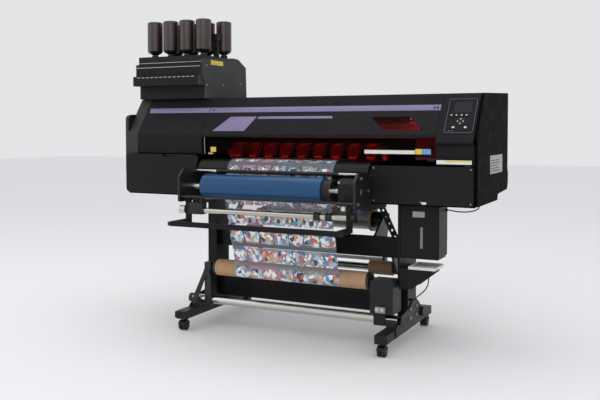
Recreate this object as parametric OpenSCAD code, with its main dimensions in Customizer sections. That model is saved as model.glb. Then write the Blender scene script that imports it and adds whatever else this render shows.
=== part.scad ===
// Wide-format roll-to-roll film printer with a front laminating unit, on a castered stand.
// Millimetres. X runs along the width, +Y to the back, +Z up. Lengths along Y are laid out from
// the front casters' contact line, and at_origin() then centres the machine over the origin.

/* [Body] */
// Width of the printer body between its end covers' outer faces
body_w = 2000; // [1960:10:2400]
// Height of the body's underside above the floor
underside_h = 727; // [700:1:900]
// Height from the underside to the roof's rear edge
body_h = 550; // [530:1:660]
// Distance from the front caster line to the body's back
body_back = 743; // [735:1:900]
// Wall of the sheet metal and moulded covers
cover_t = 3; // [2:0.5:4]
// Visible gap between neighbouring covers
seam = 1.5; // [1:0.5:3]
// Width of the left end cover
left_end_w = 70; // [60:1:80]
// Width of the left front cover, beside the hinged cover
left_cover_w = 424; // [380:1:430]
// Width of the right front cover, which carries the control panel
right_cover_w = 178; // [175:1:200]
// Width of the right end cover
right_end_w = 15; // [10:1:20]
// How far the left end's side bulge stands out
side_bulge = 20; // [10:1:30]

/* [Stand] */
// Distance between the two foot beams, centre to centre
foot_pitch = 1138; // [1120:2:1180]
// Width of a foot beam
foot_w = 60; // [50:1:70]
// Height of a foot beam
foot_h = 42; // [36:1:50]
// Length of a foot beam
foot_len = 727; // [700:1:860]
// Caster wheel diameter
wheel_d = 50; // [40:1:50]
// Caster wheel width
wheel_w = 14; // [10:1:16]
// Width of a leg post, along X
leg_w = 55; // [45:1:60]
// Depth of a leg post, along Y
leg_d = 135; // [110:1:150]

/* [Printing] */
// Width of the platen that the film slides over
platen_w = 975; // [900:5:980]
// Grit roller radius
grit_r = 12; // [9:0.5:12]
// Number of pinch levers
pinch_count = 9; // [5:1:9]
// How far the print carriage travels
carriage_travel = 1500; // [1200:10:1550]

/* [Control panel] */
// Display width
display_w = 84; // [70:1:90]
// Display height
display_h = 60; // [50:1:65]
// How far the key caps stand proud
key_proud = 1.5; // [1:0.1:2]
// Gap round each key
key_gap = 0.5; // [0.4:0.1:0.6]

/* [Ink unit] */
// Width of the ink unit's case
ink_w = 451; // [440:1:470]
// Bottle diameter
bottle_d = 88; // [70:1:92]
// Bottle height above the deck's floor
bottle_h = 248; // [200:1:280]
// Distance between bottles in a row
bottle_pitch = 112; // [104:1:114]

/* [Laminating unit] */
// Outside width across the laminator's side plates
lam_w = 990; // [960:2:1000]
// Laminating roller diameter
lam_roller_d = 130; // [110:1:130]
// Pressure roller diameter
press_roller_d = 64; // [50:1:70]
// Rubber-covered length of both rollers
roller_face = 675; // [650:5:720]
// Tension shaft diameter
tension_d = 28; // [20:1:34]
// Section of the square guard bar
guard_t = 24; // [18:1:30]

/* [Rolls] */
// Film width
film_w = 610; // [500:10:620]
// Film core outer diameter
core_d = 89; // [84:1:110]
// Film core wall
core_wall = 6.5; // [4:0.5:8]
// Supply roll diameter with film on it
supply_d = 115; // [100:1:125]
// Take-up rail tube diameter
rail_d = 45; // [38:1:50]

/* [Fits] */
// Radial clearance of every running fit
fit = 0.05; // [0.02:0.01:0.1]
// Gap between parts that pass without touching
clear = 0.4; // [0.3:0.1:1]

/* [Hidden] */
$fn = 48;

// Colours of the finishes
black = [0.05, 0.05, 0.06];
dark = [0.09, 0.09, 0.1];
charcoal = [0.16, 0.16, 0.17];
silver = [0.78, 0.79, 0.8];
kraft = [0.62, 0.47, 0.34];

// Body outline, as Y and Z
z_pan = underside_h;
z_roof_rear = z_pan + body_h;
z_roof_front = z_roof_rear - 19;
z_crease = z_pan + 333;
crease_y = 75;
roof_front_y = 212;
lower_front_y = 80;
pan_t = 5;
pan_back = 503;
rear_step_y = 535;
bulge_back = body_back + 15;
x_left = -body_w / 2;
x_right = body_w / 2;
slope = (z_roof_rear - z_roof_front) / (body_back - roof_front_y);
function roof_z(y) = z_roof_front + (y - roof_front_y) * slope;

// Where the front covers meet
front_x0 = x_left + left_end_w + left_cover_w + 3;
front_x1 = x_right - right_end_w - right_cover_w - 4;
cover_bottom = z_pan + 223;
panel_bottom = z_pan + 188;
lid_back = 268;
hinge_y = 262;
hinge_z = roof_z(hinge_y) - 8;
hinge_pin_r = 4;

// Slanted face: angle above the horizontal and length from crease to roof
slant_run = roof_front_y - crease_y;
slant_rise = z_roof_front - z_crease;
slant_angle = atan2(slant_rise, slant_run);
panel_drop = 46;
panel_low_y = crease_y - panel_drop * cos(slant_angle);
panel_low_z = z_crease - panel_drop * sin(slant_angle);

// Stand
foot_x = foot_pitch / 2;
foot_front = -27;
foot_bottom = 65;
foot_top = foot_bottom + foot_h;
caster_trail = 18;
caster_x = foot_x;
caster_front_y = caster_trail;
caster_rear_y = foot_front + foot_len - 47;
leg_front = 290;
leg_x1 = foot_x + foot_w / 2;
leg_x0 = leg_x1 - leg_w;
axle_r = 4;
stem_r = 5;

// Platen and rollers
platen_x0 = -495;
platen_x1 = platen_x0 + platen_w;
platen_top = z_pan + 198;
platen_t = 20;
platen_front = 92;
platen_back = 420;
grit_y = 300;
grit_z = platen_top - grit_r + 1.5;
journal_r = 6;
apron_r = 60;

// Carriage
film_z = platen_top + 2;
film_t = 1;
rail_z0 = z_pan + 313;
rail_z1 = rail_z0 + 75;
rail_y0 = 382;
rail_y1 = 440;
rail_x = body_w / 2 - 100;
belt_y = 411;
pulley_r = 15.8;
belt_t = 2;
pulley_x = rail_x - 20;
carriage_x0 = x_right - 320;
carriage_x1 = x_right - 100;

// Control panel, placed from the crease (u is the distance up the slant)
panel_x0 = x_right - 165;
panel_x1 = x_right - 23;
display_x = x_right - 91;
display_u = 159;
key_row_u = 110;
pad_u = 75;
pad_r = 22;
big_key_u = 40;

// Ink unit
ink_x0 = x_left + 8;
ink_x1 = ink_x0 + ink_w;
ink_front = 182;
ink_back = 630;
ink_base = z_roof_front + 5;
ink_drawer_z = ink_base + 67;
ink_layer_z = ink_base + 121;
ink_top_z = ink_base + 190;
deck_top_z = ink_base + 234;
deck_floor_z = ink_top_z + 6;
deck_side = 8;
bottle_row_y = [262, 418];
bottle_row_x = [ink_x0 + 49, ink_x1 - deck_side - 20 - 3 * bottle_pitch];
socket_r = 19;
neck_r = 16;

// Laminating unit
lam_x0 = -500;
lam_x1 = lam_x0 + lam_w;
lam_plate_t = 12;
lam_y = -75;
lam_z = z_pan + 63;
roller_x0 = -372;
roller_x1 = roller_x0 + roller_face;
collar_w = 45;
lam_shaft_r = 12;
press_shaft_r = 8;
press_y = lam_y + lam_roller_d / 2 + press_roller_d / 2 + clear;
nip_y = lam_y + lam_roller_d / 2 + 0.5;
guide_y = 8;
guide_z = z_pan + 139;
guard_front = -257;
guard_z = z_pan - 129;
guard_x0 = lam_x0 + 25;
guard_x1 = lam_x1 - 36;
arm_y = -116;
tension_y = arm_y + guard_t / 2;
tension_z = z_pan - 59;
tension_journal_r = 8;

// Take-up unit
rail_y = 150;
rail_z = foot_top + rail_d / 2 + 15;
core_r = core_d / 2;
takeup_z = rail_z + 184;
takeup_x = 440;
hub_journal_r = 10;
motor_x0 = 470;
motor_x1 = 590;

// Rear rolls
supply_y = 555;
supply_z = z_pan - 139;
film_x0 = -film_w / 2 - 5;
film_x1 = film_x0 + film_w;
hub_w = 54;
supply_flange_t = 18;
rear_core_y = 480;
rear_core_z = z_pan - 390;
beam_y0 = 330;
beam_y1 = 370;
beam_z0 = z_pan - 306;
beam_z1 = beam_z0 + 104;

// Waste tank and tray
tank_x0 = leg_x1 + 6;
tank_x1 = tank_x0 + 195;
tank_y0 = 153;
tank_y1 = 293;
tank_z0 = z_pan - 264;
tank_z1 = z_pan - 14;
shelf_z = tank_z0 - 56;

// Middle of the whole machine, which becomes the origin
x_mid = (x_left - side_bulge + x_right) / 2;
y_mid = (guard_front + bulge_back) / 2;

// Free cables: diameter and the points that each route follows
cable_d = 6;
cable_tank_route = [[806, 275, 688], [813, 275, 688], [823, 275, 686.8], [834, 275, 685],
    [845, 275, 683.6], [857, 275, 682.6], [869, 275, 682], [881, 275, 682], [893, 275, 682.5],
    [905, 275, 683.5], [917, 275, 685.2], [928, 275, 687.5], [938, 275, 690.5], [946, 275, 694],
    [953, 275, 698], [958, 275, 702], [960, 275, 706.5], [960, 275, 711]];
cable_foot_route = [[712, 284, 383], [712, 284, 373], [711, 286, 361], [709, 289, 349], [707, 293, 337],
    [705, 297, 325], [702, 302, 313], [698, 307, 301], [693, 311, 290], [686, 315, 279],
    [677, 318, 268], [667, 321, 258], [656, 324, 248], [645, 326, 239], [634, 327, 229],
    [625, 328, 220], [618.5, 328, 214.5], [615, 328, 213], [611.6, 328, 213]];

// ---- Shared shapes and functions ----

function unit(v) = v / norm(v);
function inward(a, b) = let (d = unit(b - a)) [d[1], -d[0]];
function turned(v, a) = [v[0] * cos(a) - v[1] * sin(a), v[0] * sin(a) + v[1] * cos(a)];

// Point i of a path, moved inwards by t; clockwise paths have their inside on the right
function inset_end(a, b, p, t) = p + t * inward(a, b);
function inset_corner(a, b, c, t) =
    let (m = inward(a, b), n = inward(b, c)) b + t * (m + n) / (1 + m * n);
function inset_open(p, t) = [for (i = [0:len(p) - 1])
    i == 0 ? inset_end(p[0], p[1], p[0], t)
    : i == len(p) - 1 ? inset_end(p[i - 1], p[i], p[i], t)
    : inset_corner(p[i - 1], p[i], p[i + 1], t)];
function inset_closed(p, t) = let (n = len(p))
    [for (i = [0:n - 1]) inset_corner(p[(i + n - 1) % n], p[i], p[(i + 1) % n], t)];
function reversed(p) = [for (i = [len(p) - 1:-1:0]) p[i]];
function strip(p, t) = concat(p, reversed(inset_open(p, t)));

// Corner b between a and c, rounded to radius r with n steps
function arc_corner(a, b, c, r, n) =
    let (u = unit(a - b), v = unit(c - b), half = acos(max(-1, min(1, u * v))) / 2)
    half > 89 ? [b] :
    let (d = min(r / tan(half), norm(a - b) * 0.45, norm(c - b) * 0.45), q = d * tan(half),
        m = b + unit(u + v) * q / sin(half), s = b + u * d - m, e = b + v * d - m,
        way = s[0] * e[1] - s[1] * e[0] > 0 ? 1 : -1)
    [for (k = [0:n]) m + turned(s, way * (180 - 2 * half) * k / n)];
function rounded_open(p, r, n = 5) = [for (i = [0:len(p) - 1])
    each (i == 0 || i == len(p) - 1 ? [p[i]] : arc_corner(p[i - 1], p[i], p[i + 1], r, n))];
function rounded_closed(p, r, n = 5) = let (m = len(p))
    [for (i = [0:m - 1]) each arc_corner(p[(i + m - 1) % m], p[i], p[(i + 1) % m], r, n)];
function box_outline(x0, y0, x1, y1) = [[x0, y0], [x0, y1], [x1, y1], [x1, y0]];

module at_origin() translate([-x_mid, -y_mid, 0]) children();

// Box between two opposite corners
module block(low, high) translate(low) cube(high - low);

// Outline in Y and Z, extruded along X
module side_prism(x0, x1, outline)
    translate([x0, 0, 0]) rotate([90, 0, 90]) linear_extrude(x1 - x0) polygon(outline);

// Outline in X and Z, extruded along Y
module front_prism(y0, y1, outline)
    translate([0, y1, 0]) rotate([90, 0, 0]) linear_extrude(y1 - y0) polygon(outline);

// Outline in X and Y, extruded along Z
module flat_prism(z0, z1, outline) translate([0, 0, z0]) linear_extrude(z1 - z0) polygon(outline);

module x_rod(x0, x1, y, z, r) translate([x0, y, z]) rotate([0, 90, 0]) cylinder(h = x1 - x0, r = r);
module y_rod(y0, y1, x, z, r) translate([x, y1, z]) rotate([90, 0, 0]) cylinder(h = y1 - y0, r = r);
module z_rod(z0, z1, x, y, r) translate([x, y, z0]) cylinder(h = z1 - z0, r = r);

// Places children on the slanted face: x along it, u up it, and their own Z out of it
module on_slant(x, u)
    translate([x, crease_y + u * cos(slant_angle), z_crease + u * sin(slant_angle)])
        rotate([slant_angle, 0, 0]) children();

// Rounded plate on the slant, between depths n0 and n1
module slant_plate(w, h, r, n0, n1)
    translate([0, 0, n0]) linear_extrude(n1 - n0)
        polygon(rounded_closed(box_outline(-w / 2, -h / 2, w / 2, h / 2), r, 4));

// Round tube swept along a route: rings of points and the faces between them
function direction(p, i) = unit(p[min(i + 1, len(p) - 1)] - p[max(i - 1, 0)]);
function ring(c, d, r, n) =
    let (side = unit(cross(d, abs(d[1]) < 0.9 ? [0, 1, 0] : [1, 0, 0])), up = cross(side, d))
    [for (k = [0:n - 1]) c + r * (cos(360 * k / n) * side + sin(360 * k / n) * up)];
module tube_along(p, r, n = 8) {
    rings = len(p);
    points = [for (i = [0:rings - 1]) each ring(p[i], direction(p, i), r, n)];
    sides = [for (i = [0:rings - 2]) for (k = [0:n - 1])
        [i * n + k, i * n + (k + 1) % n, (i + 1) * n + (k + 1) % n, (i + 1) * n + k]];
    ends = [[for (k = [n - 1:-1:0]) k], [for (k = [0:n - 1]) (rings - 1) * n + k]];
    polyhedron(points, concat(sides, ends));
}

// ---- Stand ----

module foot_beam(side) {
    x0 = side * foot_x - foot_w / 2;
    wall = 4;
    difference() {
        block([x0, foot_front, foot_bottom], [x0 + foot_w, foot_front + foot_len, foot_top]);
        block([x0 + wall, foot_front - 1, foot_bottom + wall],
            [x0 + foot_w - wall, foot_front + foot_len + 1, foot_top - wall]);
    }
    for (end = [[foot_front - 3, foot_front], [foot_front + foot_len, foot_front + foot_len + 3]])
        block([x0, end[0], foot_bottom], [x0 + foot_w, end[1], foot_top]);
    gusset_x = side > 0 ? leg_x1 : -leg_x1 - 6;
    difference() {
        side_prism(gusset_x, gusset_x + 6, [[100, foot_bottom + 4], [100, foot_top], [155, foot_top + 49],
        [leg_front + 20, foot_top + 72], [leg_front + 65, foot_top + 92],
        [leg_front + leg_d, foot_top + 92], [leg_front + leg_d + 90, foot_top + 30],
        [foot_front + foot_len - 20, foot_top], [foot_front + foot_len - 20, foot_bottom + 4]]);
        x_rod(gusset_x - 1, gusset_x + 7, rail_y, rail_z, rail_d / 2 + 2.5);
    }
    boss_x = side > 0 ? gusset_x + 6 : gusset_x - 14;
    x_rod(boss_x, boss_x + 14, 505, foot_top + 12, 26);
}

module foot_beams() at_origin() color(charcoal) {
    foot_beam(-1);
    foot_beam(1);
}

module leg_post(side) {
    x0 = side > 0 ? leg_x0 : -leg_x1;
    wall = 4;
    z0 = foot_top;
    z1 = z_pan - pan_t;
    difference() {
        block([x0, leg_front, z0 + 6], [x0 + leg_w, leg_front + leg_d, z1 - 6]);
        block([x0 + wall, leg_front + wall, z0 + 5], [x0 + leg_w - wall, leg_front + leg_d - wall, z1 - 5]);
    }
    block([x0 - (side > 0 ? 2 : 0), leg_front - 20, z0],
        [x0 + leg_w + (side > 0 ? 0 : 2), leg_front + leg_d + 20, z0 + 6]);
    block([x0 - 20, leg_front - 20, z1 - 6], [x0 + leg_w, leg_front + leg_d + 20, z1]);
}

module leg_posts() at_origin() color(dark) {
    leg_post(-1);
    leg_post(1);
    x_rod(leg_x1, leg_x1 + 12.6, 328, 213, 7);
}

// Perforated flat brace from the body's underside down to a leg
module brace(side) {
    y0 = beam_y1 + 8;
    top = [side * (leg_x0 - 145), z_pan - pan_t + 6];
    foot = [side * (leg_x0 + 4), z_pan - 306];
    along = unit(foot - top);
    across = [along[1], -along[0]] * 17;
    holes = 8;
    difference() {
        front_prism(y0, y0 + 4, [top - across, top + across, foot + across, foot - across]);
        for (k = [1:holes]) let (p = top + (foot - top) * k / (holes + 1))
            y_rod(y0 - 1, y0 + 5, p[0], p[1], 6);
        block([-1000, y0 - 1, z_pan - pan_t], [1000, y0 + 5, z_pan + 40]);
        block([side > 0 ? leg_x0 : -leg_x1, y0 - 1, foot_top], [side > 0 ? leg_x1 : -leg_x0, y0 + 5, z_pan]);
    }
}

module cross_members() at_origin() color(black) {
    wall = 3;
    difference() {
        block([-leg_x0, beam_y0, beam_z0], [leg_x0, beam_y1, beam_z1]);
        block([-leg_x0 - 1, beam_y0 + wall, beam_z0 + wall], [leg_x0 + 1, beam_y1 - wall, beam_z1 - wall]);
    }
    block([-leg_x0, beam_y0, foot_top + 27], [leg_x0, beam_y0 + 14, foot_top + 203]);
    brace(-1);
    brace(1);
}

// Casters: turned so that the wheels trail outwards, at the front and at the rear
function caster_place(side, front) = [side * caster_x, front ? caster_front_y : caster_rear_y];
function wheel_way(front) = front ? -1 : 1;

module caster_stems() at_origin() color(silver)
    for (side = [-1, 1]) for (front = [true, false]) let (p = caster_place(side, front)) {
        block([p[0] - 26, p[1] - 26, foot_bottom - 3], [p[0] + 26, p[1] + 26, foot_bottom]);
        z_rod(wheel_d + 1.5, foot_bottom - 3, p[0], p[1], stem_r);
    }

module caster_fork(side, front) {
    p = caster_place(side, front);
    way = wheel_way(front);
    axle_y = p[1] + way * caster_trail;
    wheel_r = wheel_d / 2;
    web = 8;
    hood = wheel_r + 5;
    difference() {
        union() {
            z_rod(wheel_d + 0.5, foot_bottom - 3.5, p[0], p[1], 12);
            side_prism(p[0] - web / 2, p[0] + web / 2, [[axle_y - way * 7, wheel_r - 7],
                [axle_y - way * 7, wheel_r + 5], [p[1] - way * 10, wheel_d + 3],
                [p[1] - way * 10, foot_bottom - 5], [p[1] + way * 11, foot_bottom - 5],
                [axle_y + way * 7, wheel_r + 7], [axle_y + way * 7, wheel_r - 7]]);
            intersection() {
                x_rod(p[0] - wheel_w - 6, p[0] + wheel_w + 6, axle_y, wheel_r, hood);
                block([p[0] - 30, axle_y - hood - 1, wheel_r + 8], [p[0] + 30, axle_y + hood + 1, wheel_d + 7]);
            }
        }
        for (s = [-1, 1]) translate([p[0] + s * (web / 2 + 20), axle_y, wheel_r]) rotate([0, 90, 0])
            cylinder(h = 40, r = wheel_r + 1.5, center = true);
        z_rod(wheel_d, foot_bottom, p[0], p[1], stem_r + fit);
        x_rod(p[0] - web, p[0] + web, axle_y, wheel_r, axle_r + fit);
    }
}

module caster_wheel_pair(side, front) {
    p = caster_place(side, front);
    axle_y = p[1] + wheel_way(front) * caster_trail;
    wheel_r = wheel_d / 2;
    inner = 4.6;
    for (s = [-1, 1]) let (x0 = s > 0 ? p[0] + inner : p[0] - inner - wheel_w) difference() {
        x_rod(x0, x0 + wheel_w, axle_y, wheel_r, wheel_r);
        x_rod(s > 0 ? x0 + wheel_w - 4 : x0 - 1, s > 0 ? x0 + wheel_w + 1 : x0 + 4, axle_y, wheel_r, wheel_r - 7);
    }
    x_rod(p[0] - inner - 3, p[0] + inner + 3, axle_y, wheel_r, axle_r);
}

module caster_fork_front_left() at_origin() color(black) caster_fork(-1, true);
module caster_fork_front_right() at_origin() color(black) caster_fork(1, true);
module caster_fork_rear_left() at_origin() color(black) caster_fork(-1, false);
module caster_fork_rear_right() at_origin() color(black) caster_fork(1, false);
module caster_wheels_front_left() at_origin() color(charcoal) caster_wheel_pair(-1, true);
module caster_wheels_front_right() at_origin() color(charcoal) caster_wheel_pair(1, true);
module caster_wheels_rear_left() at_origin() color(charcoal) caster_wheel_pair(-1, false);
module caster_wheels_rear_right() at_origin() color(charcoal) caster_wheel_pair(1, false);

// ---- Body ----

module main_beam() at_origin() color(silver) {
    x0 = x_left + left_end_w + 5;
    x1 = x_right - right_end_w - 5;
    wall = 4;
    top = z_pan + 93;
    difference() {
        block([x0, 330, z_pan], [x1, 450, top]);
        block([x0 - 1, 330 + wall, z_pan + wall], [x1 + 1, 450 - wall, top - wall]);
    }
    for (x = [-rail_x + 10, rail_x - 40])
        block([x, rail_y0 + 8, top], [x + 30, rail_y1 - 8, rail_z0]);
    for (x = [-400, -15, 370])
        block([x, 350, top], [x + 30, 410, platen_top - platen_t]);
}

module bottom_pan() at_origin() color(dark) {
    x0 = x_left + 4;
    x1 = x_right - right_end_w - 1;
    block([x0, lower_front_y + 2, z_pan - pan_t], [x1, pan_back, z_pan]);
    z_rod(z_pan - 16, z_pan - pan_t, 960, 275, 7);
    for (x = maintenance_lugs()) {
        x_rod(x, x + 6, maintenance_y, maintenance_z, 5.5);
        block([x, maintenance_y, maintenance_z - 5.5], [x + 6, lower_front_y + 14, maintenance_z + 5.5]);
        block([x, lower_front_y + 6, z_pan], [x + 6, lower_front_y + 14, maintenance_z - 5.5]);
        x_rod(x + 6, x + 16, maintenance_y, maintenance_z, 3);
    }
}

// Whole outline of the body's end, clockwise from the lower front
function body_outline() = rounded_closed([[lower_front_y, z_pan], [crease_y, z_crease],
    [roof_front_y, z_roof_front], [body_back, z_roof_rear], [body_back, z_pan + 147],
    [bulge_back, z_pan + 133], [bulge_back, z_pan + 75], [body_back - 6, z_pan + 40],
    [pan_back + 8, z_pan + 30], [pan_back + 2, z_pan]], 10, 4);

module rear_cover() at_origin() {
    x0 = x_left + left_end_w + seam;
    x1 = x_right - right_end_w - seam;
    path = rounded_open([[lid_back + seam + 4, roof_z(lid_back + seam + 4)], [body_back, z_roof_rear],
        [body_back, z_pan + 147], [bulge_back, z_pan + 133], [bulge_back, z_pan + 75],
        [body_back - 6, z_pan + 40], [rear_step_y, z_pan + 30]], 10, 4);
    inlet_x = x_right - 260;
    inlet_z = z_pan + 260;
    color(dark) difference() {
        side_prism(x0, x1, strip(path, cover_t));
        block([inlet_x - 24, body_back - 8, inlet_z - 16], [inlet_x + 24, body_back + 8, inlet_z + 16]);
        for (i = [0:11]) for (x = [-1, 1]) let (cx = x * 560 + (i - 5.5) * 18)
            block([cx - 4, body_back - 8, z_pan + 380], [cx + 4, body_back + 8, z_pan + 450]);
    }
    color(black) difference() {
        block([inlet_x - 23.5, body_back - 26, inlet_z - 15.5], [inlet_x + 23.5, body_back + 2, inlet_z + 15.5]);
        block([inlet_x - 13, body_back - 18, inlet_z - 9], [inlet_x + 13, body_back + 3, inlet_z + 9]);
    }
    color(silver) for (p = [[-7, -3], [0, 3], [7, -3]])
        block([inlet_x + p[0] - 1, body_back - 18, inlet_z + p[1] - 2.5],
            [inlet_x + p[0] + 1, body_back - 3, inlet_z + p[1] + 2.5]);
}

module left_end_cover() at_origin() color(charcoal) {
    x1 = x_left + left_end_w;
    bulge = rounded_closed([[lower_front_y + 2, z_pan + 112], [lower_front_y + 2, z_pan + 430],
        [lower_front_y + 40, z_pan + 442], [640, z_pan + 442], [640, z_pan + 104],
        [lower_front_y + 30, z_pan + 104]], 20, 5);
    difference() {
        union() {
            side_prism(x_left, x1, body_outline());
            side_prism(x_left - side_bulge, x_left, bulge);
        }
        side_prism(x_left + cover_t, x1 + 1, inset_closed(body_outline(), cover_t));
        side_prism(x_left - side_bulge + cover_t, x_left + cover_t + 1, inset_closed(bulge, cover_t));
    }
}

module right_end_cover() at_origin() color(dark) {
    x0 = x_right - right_end_w;
    difference() {
        side_prism(x0, x_right, body_outline());
        side_prism(x0 - 1, x_right - cover_t, inset_closed(body_outline(), cover_t + 2));
    }
}

// Front of a cover: from its lower edge over the crease and the slant to the roof
function front_path(low_z) = [[lower_front_y, low_z], [crease_y, z_crease],
    [roof_front_y, z_roof_front], [lid_back, roof_z(lid_back)]];
function lower_front(z) = crease_y + (lower_front_y - crease_y) * (z_crease - z) / (z_crease - cover_bottom);
function tail(p) = [for (i = [1:len(p) - 1]) p[i]];

// Thin skin and deep end flange with the same rounded outer edge
function skin(p) = strip(rounded_open(p, 9, 4), cover_t);
function flange(p, depth) = concat(rounded_open(p, 9, 4), reversed(inset_open(p, depth)));

module hinge_pin(x0, x1) x_rod(x0, x1, hinge_y, hinge_z, hinge_pin_r);

module left_front_cover() at_origin() color(dark) {
    x0 = x_left + left_end_w + seam;
    x1 = front_x0 - seam;
    path = front_path(cover_bottom + 4);
    side_prism(x0, x1 - cover_t, skin(path));
    side_prism(x1 - cover_t, x1, flange(path, 24));
    hinge_pin(x1, x1 + seam + cover_t + 4);
}

module right_front_cover() at_origin() color(dark) {
    x0 = front_x1 + seam;
    x1 = x_right - right_end_w - seam;
    path = [[lower_front_y, panel_bottom], [crease_y + 2, panel_low_z - 16],
        [panel_low_y, panel_low_z], [roof_front_y, z_roof_front], [lid_back, roof_z(lid_back)]];
    panel_w = panel_x1 - panel_x0;
    difference() {
        union() {
            side_prism(x0 + cover_t, x1, skin(path));
            on_slant((panel_x0 + panel_x1) / 2, 107) difference() {
                slant_plate(panel_w, 204, 12, 0, 2);
                slant_plate(panel_w - 8, 196, 9, -1, 3);
            }
        }
        on_slant(display_x, display_u) cube([display_w + 2 * key_gap, display_h + 2 * key_gap, 20], center = true);
        for (x = function_key_x())
            on_slant(x, key_row_u) cube([16 + 2 * key_gap, 9 + 2 * key_gap, 20], center = true);
        on_slant(pad_x, pad_u) cylinder(h = 20, r = pad_r + key_gap, center = true);
        for (x = big_key_x())
            on_slant(x, big_key_u) cube([28 + 2 * key_gap, 12 + 2 * key_gap, 20], center = true);
    }
    side_prism(x0, x0 + cover_t, flange(front_path(cover_bottom + 4), 24));
    hinge_pin(x0 - seam - cover_t - 4, x0);
}

module front_cover() at_origin() color(dark) {
    lip_z = z_crease - 14;
    difference() {
        side_prism(front_x0 + cover_t, front_x1 - cover_t,
            skin(concat([[lower_front(lip_z), lip_z]], tail(front_path(cover_bottom)))));
        viewing_window(clear, -10, 10);
    }
    for (x = [front_x0, front_x1 - cover_t]) difference() {
        side_prism(x, x + cover_t, flange(front_path(cover_bottom), 22));
        hinge_pin_bore(x);
    }
}

module hinge_pin_bore(x) x_rod(x - 1, x + cover_t + 1, hinge_y, hinge_z, hinge_pin_r + fit);

// Slanted four-sided window outline on the slant
module viewing_window(grow, n0, n1) {
    low = 25;
    high = 105;
    x0 = x_right - 541;
    x1 = x_right - 343;
    on_slant(0, 0) translate([0, 0, n0]) linear_extrude(n1 - n0)
        polygon([[x0 + 78 - grow, low - grow], [x0 - 2 * grow, high + grow],
            [x1 + grow, high + grow], [x1 + 80 + 2 * grow, low - grow]]);
}

module front_window() at_origin() color([0.45, 0.03, 0.05, 0.6]) {
    glass_t = 4;
    behind = cover_t + 0.2;
    side_prism(front_x0 + cover_t + clear, front_x1 - cover_t - clear,
        [[lower_front_y + behind, cover_bottom], [crease_y + behind + 0.4, z_crease - 8],
        [crease_y + behind + glass_t + 0.4, z_crease - 8], [lower_front_y + behind + glass_t, cover_bottom]]);
    viewing_window(0, -cover_t, 0);
}

// Left maintenance cover, hinged along its lower edge
maintenance_y = 66;
maintenance_z = z_pan + 11;
maintenance_x1 = front_x0 - 7;
maintenance_depth = [56, 76];
function maintenance_lugs() = [x_left + 90, x_left + 350];

module maintenance_cover() at_origin() color(black) {
    outline = rounded_closed([[x_left + 2, z_pan + 3], [x_left + 2, z_pan + 221],
        [maintenance_x1, z_pan + 221], [maintenance_x1 - 18, z_pan + 120], [maintenance_x1 - 80, z_pan + 3]],
        24, 6);
    y0 = maintenance_depth[0];
    y1 = maintenance_depth[1];
    difference() {
        front_prism(y0, y1, outline);
        front_prism(y0 + cover_t, y1 + 1, inset_closed(outline, cover_t));
        block([x_left + 255, y0 - 1, z_pan + 207], [x_left + 345, y0 + 14, z_pan + 230]);
        for (x = maintenance_lugs())
            block([x - 4, y0 + cover_t, z_pan + 2], [x + 20, y1 + 1, z_pan + 6.5]);
    }
    for (x = maintenance_lugs()) difference() {
        block([x + 8, y0 + cover_t - 0.1, z_pan + 4], [x + 14, y1 - 2, z_pan + 22]);
        x_rod(x + 7, x + 15, maintenance_y, maintenance_z, 3 + fit);
    }
    block([x_left + 250, y0 + 14, z_pan + 204], [x_left + 350, y0 + 16, z_pan + 219]);
}

module right_lower_cover() at_origin() color(black) {
    x1 = x_right - right_end_w;
    y0 = lower_front_y - 18;
    outline = rounded_closed([[lam_x1 - 4, z_pan + 2], [lam_x1 - 4, z_pan + 184],
        [x1 - 1, z_pan + 184], [x1 - 1, z_pan + 2]], 8, 4);
    difference() {
        front_prism(y0, lower_front_y, outline);
        front_prism(y0 + cover_t, lower_front_y + 1, inset_closed(outline, cover_t));
    }
}

// ---- Printing works ----

module platen() at_origin() color(charcoal) {
    end = 17;
    slot = grit_r + 2;
    difference() {
        block([platen_x0, platen_front, platen_top - platen_t], [platen_x1, platen_back, platen_top]);
        block([platen_x0 + end, grit_y - slot, platen_top - platen_t - 1],
            [platen_x1 - end, grit_y + slot, platen_top + 1]);
        x_rod(platen_x0 + 3, platen_x0 + end + 1, grit_y, grit_z, journal_r + fit);
        x_rod(platen_x1 - end - 1, platen_x1 - 3, grit_y, grit_z, journal_r + fit);
    }
    steps = 10;
    arc = [for (k = [steps:-1:0]) [platen_front, platen_top - apron_r]
        + apron_r * [cos(90 + 78 * k / steps), sin(90 + 78 * k / steps)]];
    side_prism(platen_x0, platen_x1, strip(concat(arc, [[platen_front + 2, platen_top]]), 4));
}

module grit_roller() at_origin() color(silver) {
    end = 17 + clear;
    x_rod(platen_x0 + end, platen_x1 - end, grit_y, grit_z, grit_r);
    x_rod(platen_x0 + 4, platen_x1 - 4, grit_y, grit_z, journal_r);
}

module pinch_bar() at_origin() color(black) {
    z0 = platen_top + 50;
    roller_r = 8;
    roller_z = film_z + film_t + clear + roller_r;
    pitch = (platen_w - 175) / 8;
    block([platen_x0 + 15, 335, z0], [platen_x1 - 15, 355, z0 + 22]);
    for (s = [platen_x0 + 15, platen_x1 - 35]) block([s, 335, platen_top], [s + 20, 355, z0]);
    for (k = [0:pinch_count - 1]) let (x = platen_x0 + 87 + pitch * k) {
        for (cheek = [-20, 16])
            side_prism(x + cheek, x + cheek + 4, [[grit_y - 8, roller_z - 5], [grit_y - 8, roller_z + 8],
                [322, z0 + 34], [356, z0 + 34], [356, z0 + 22], [333, z0 + 22], [grit_y + 8, roller_z - 5]]);
        block([x - 16, 326, z0 + 22], [x + 16, 350, z0 + 34]);
        x_rod(x - 16, x + 16, grit_y, roller_z, roller_r);
    }
}

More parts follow.
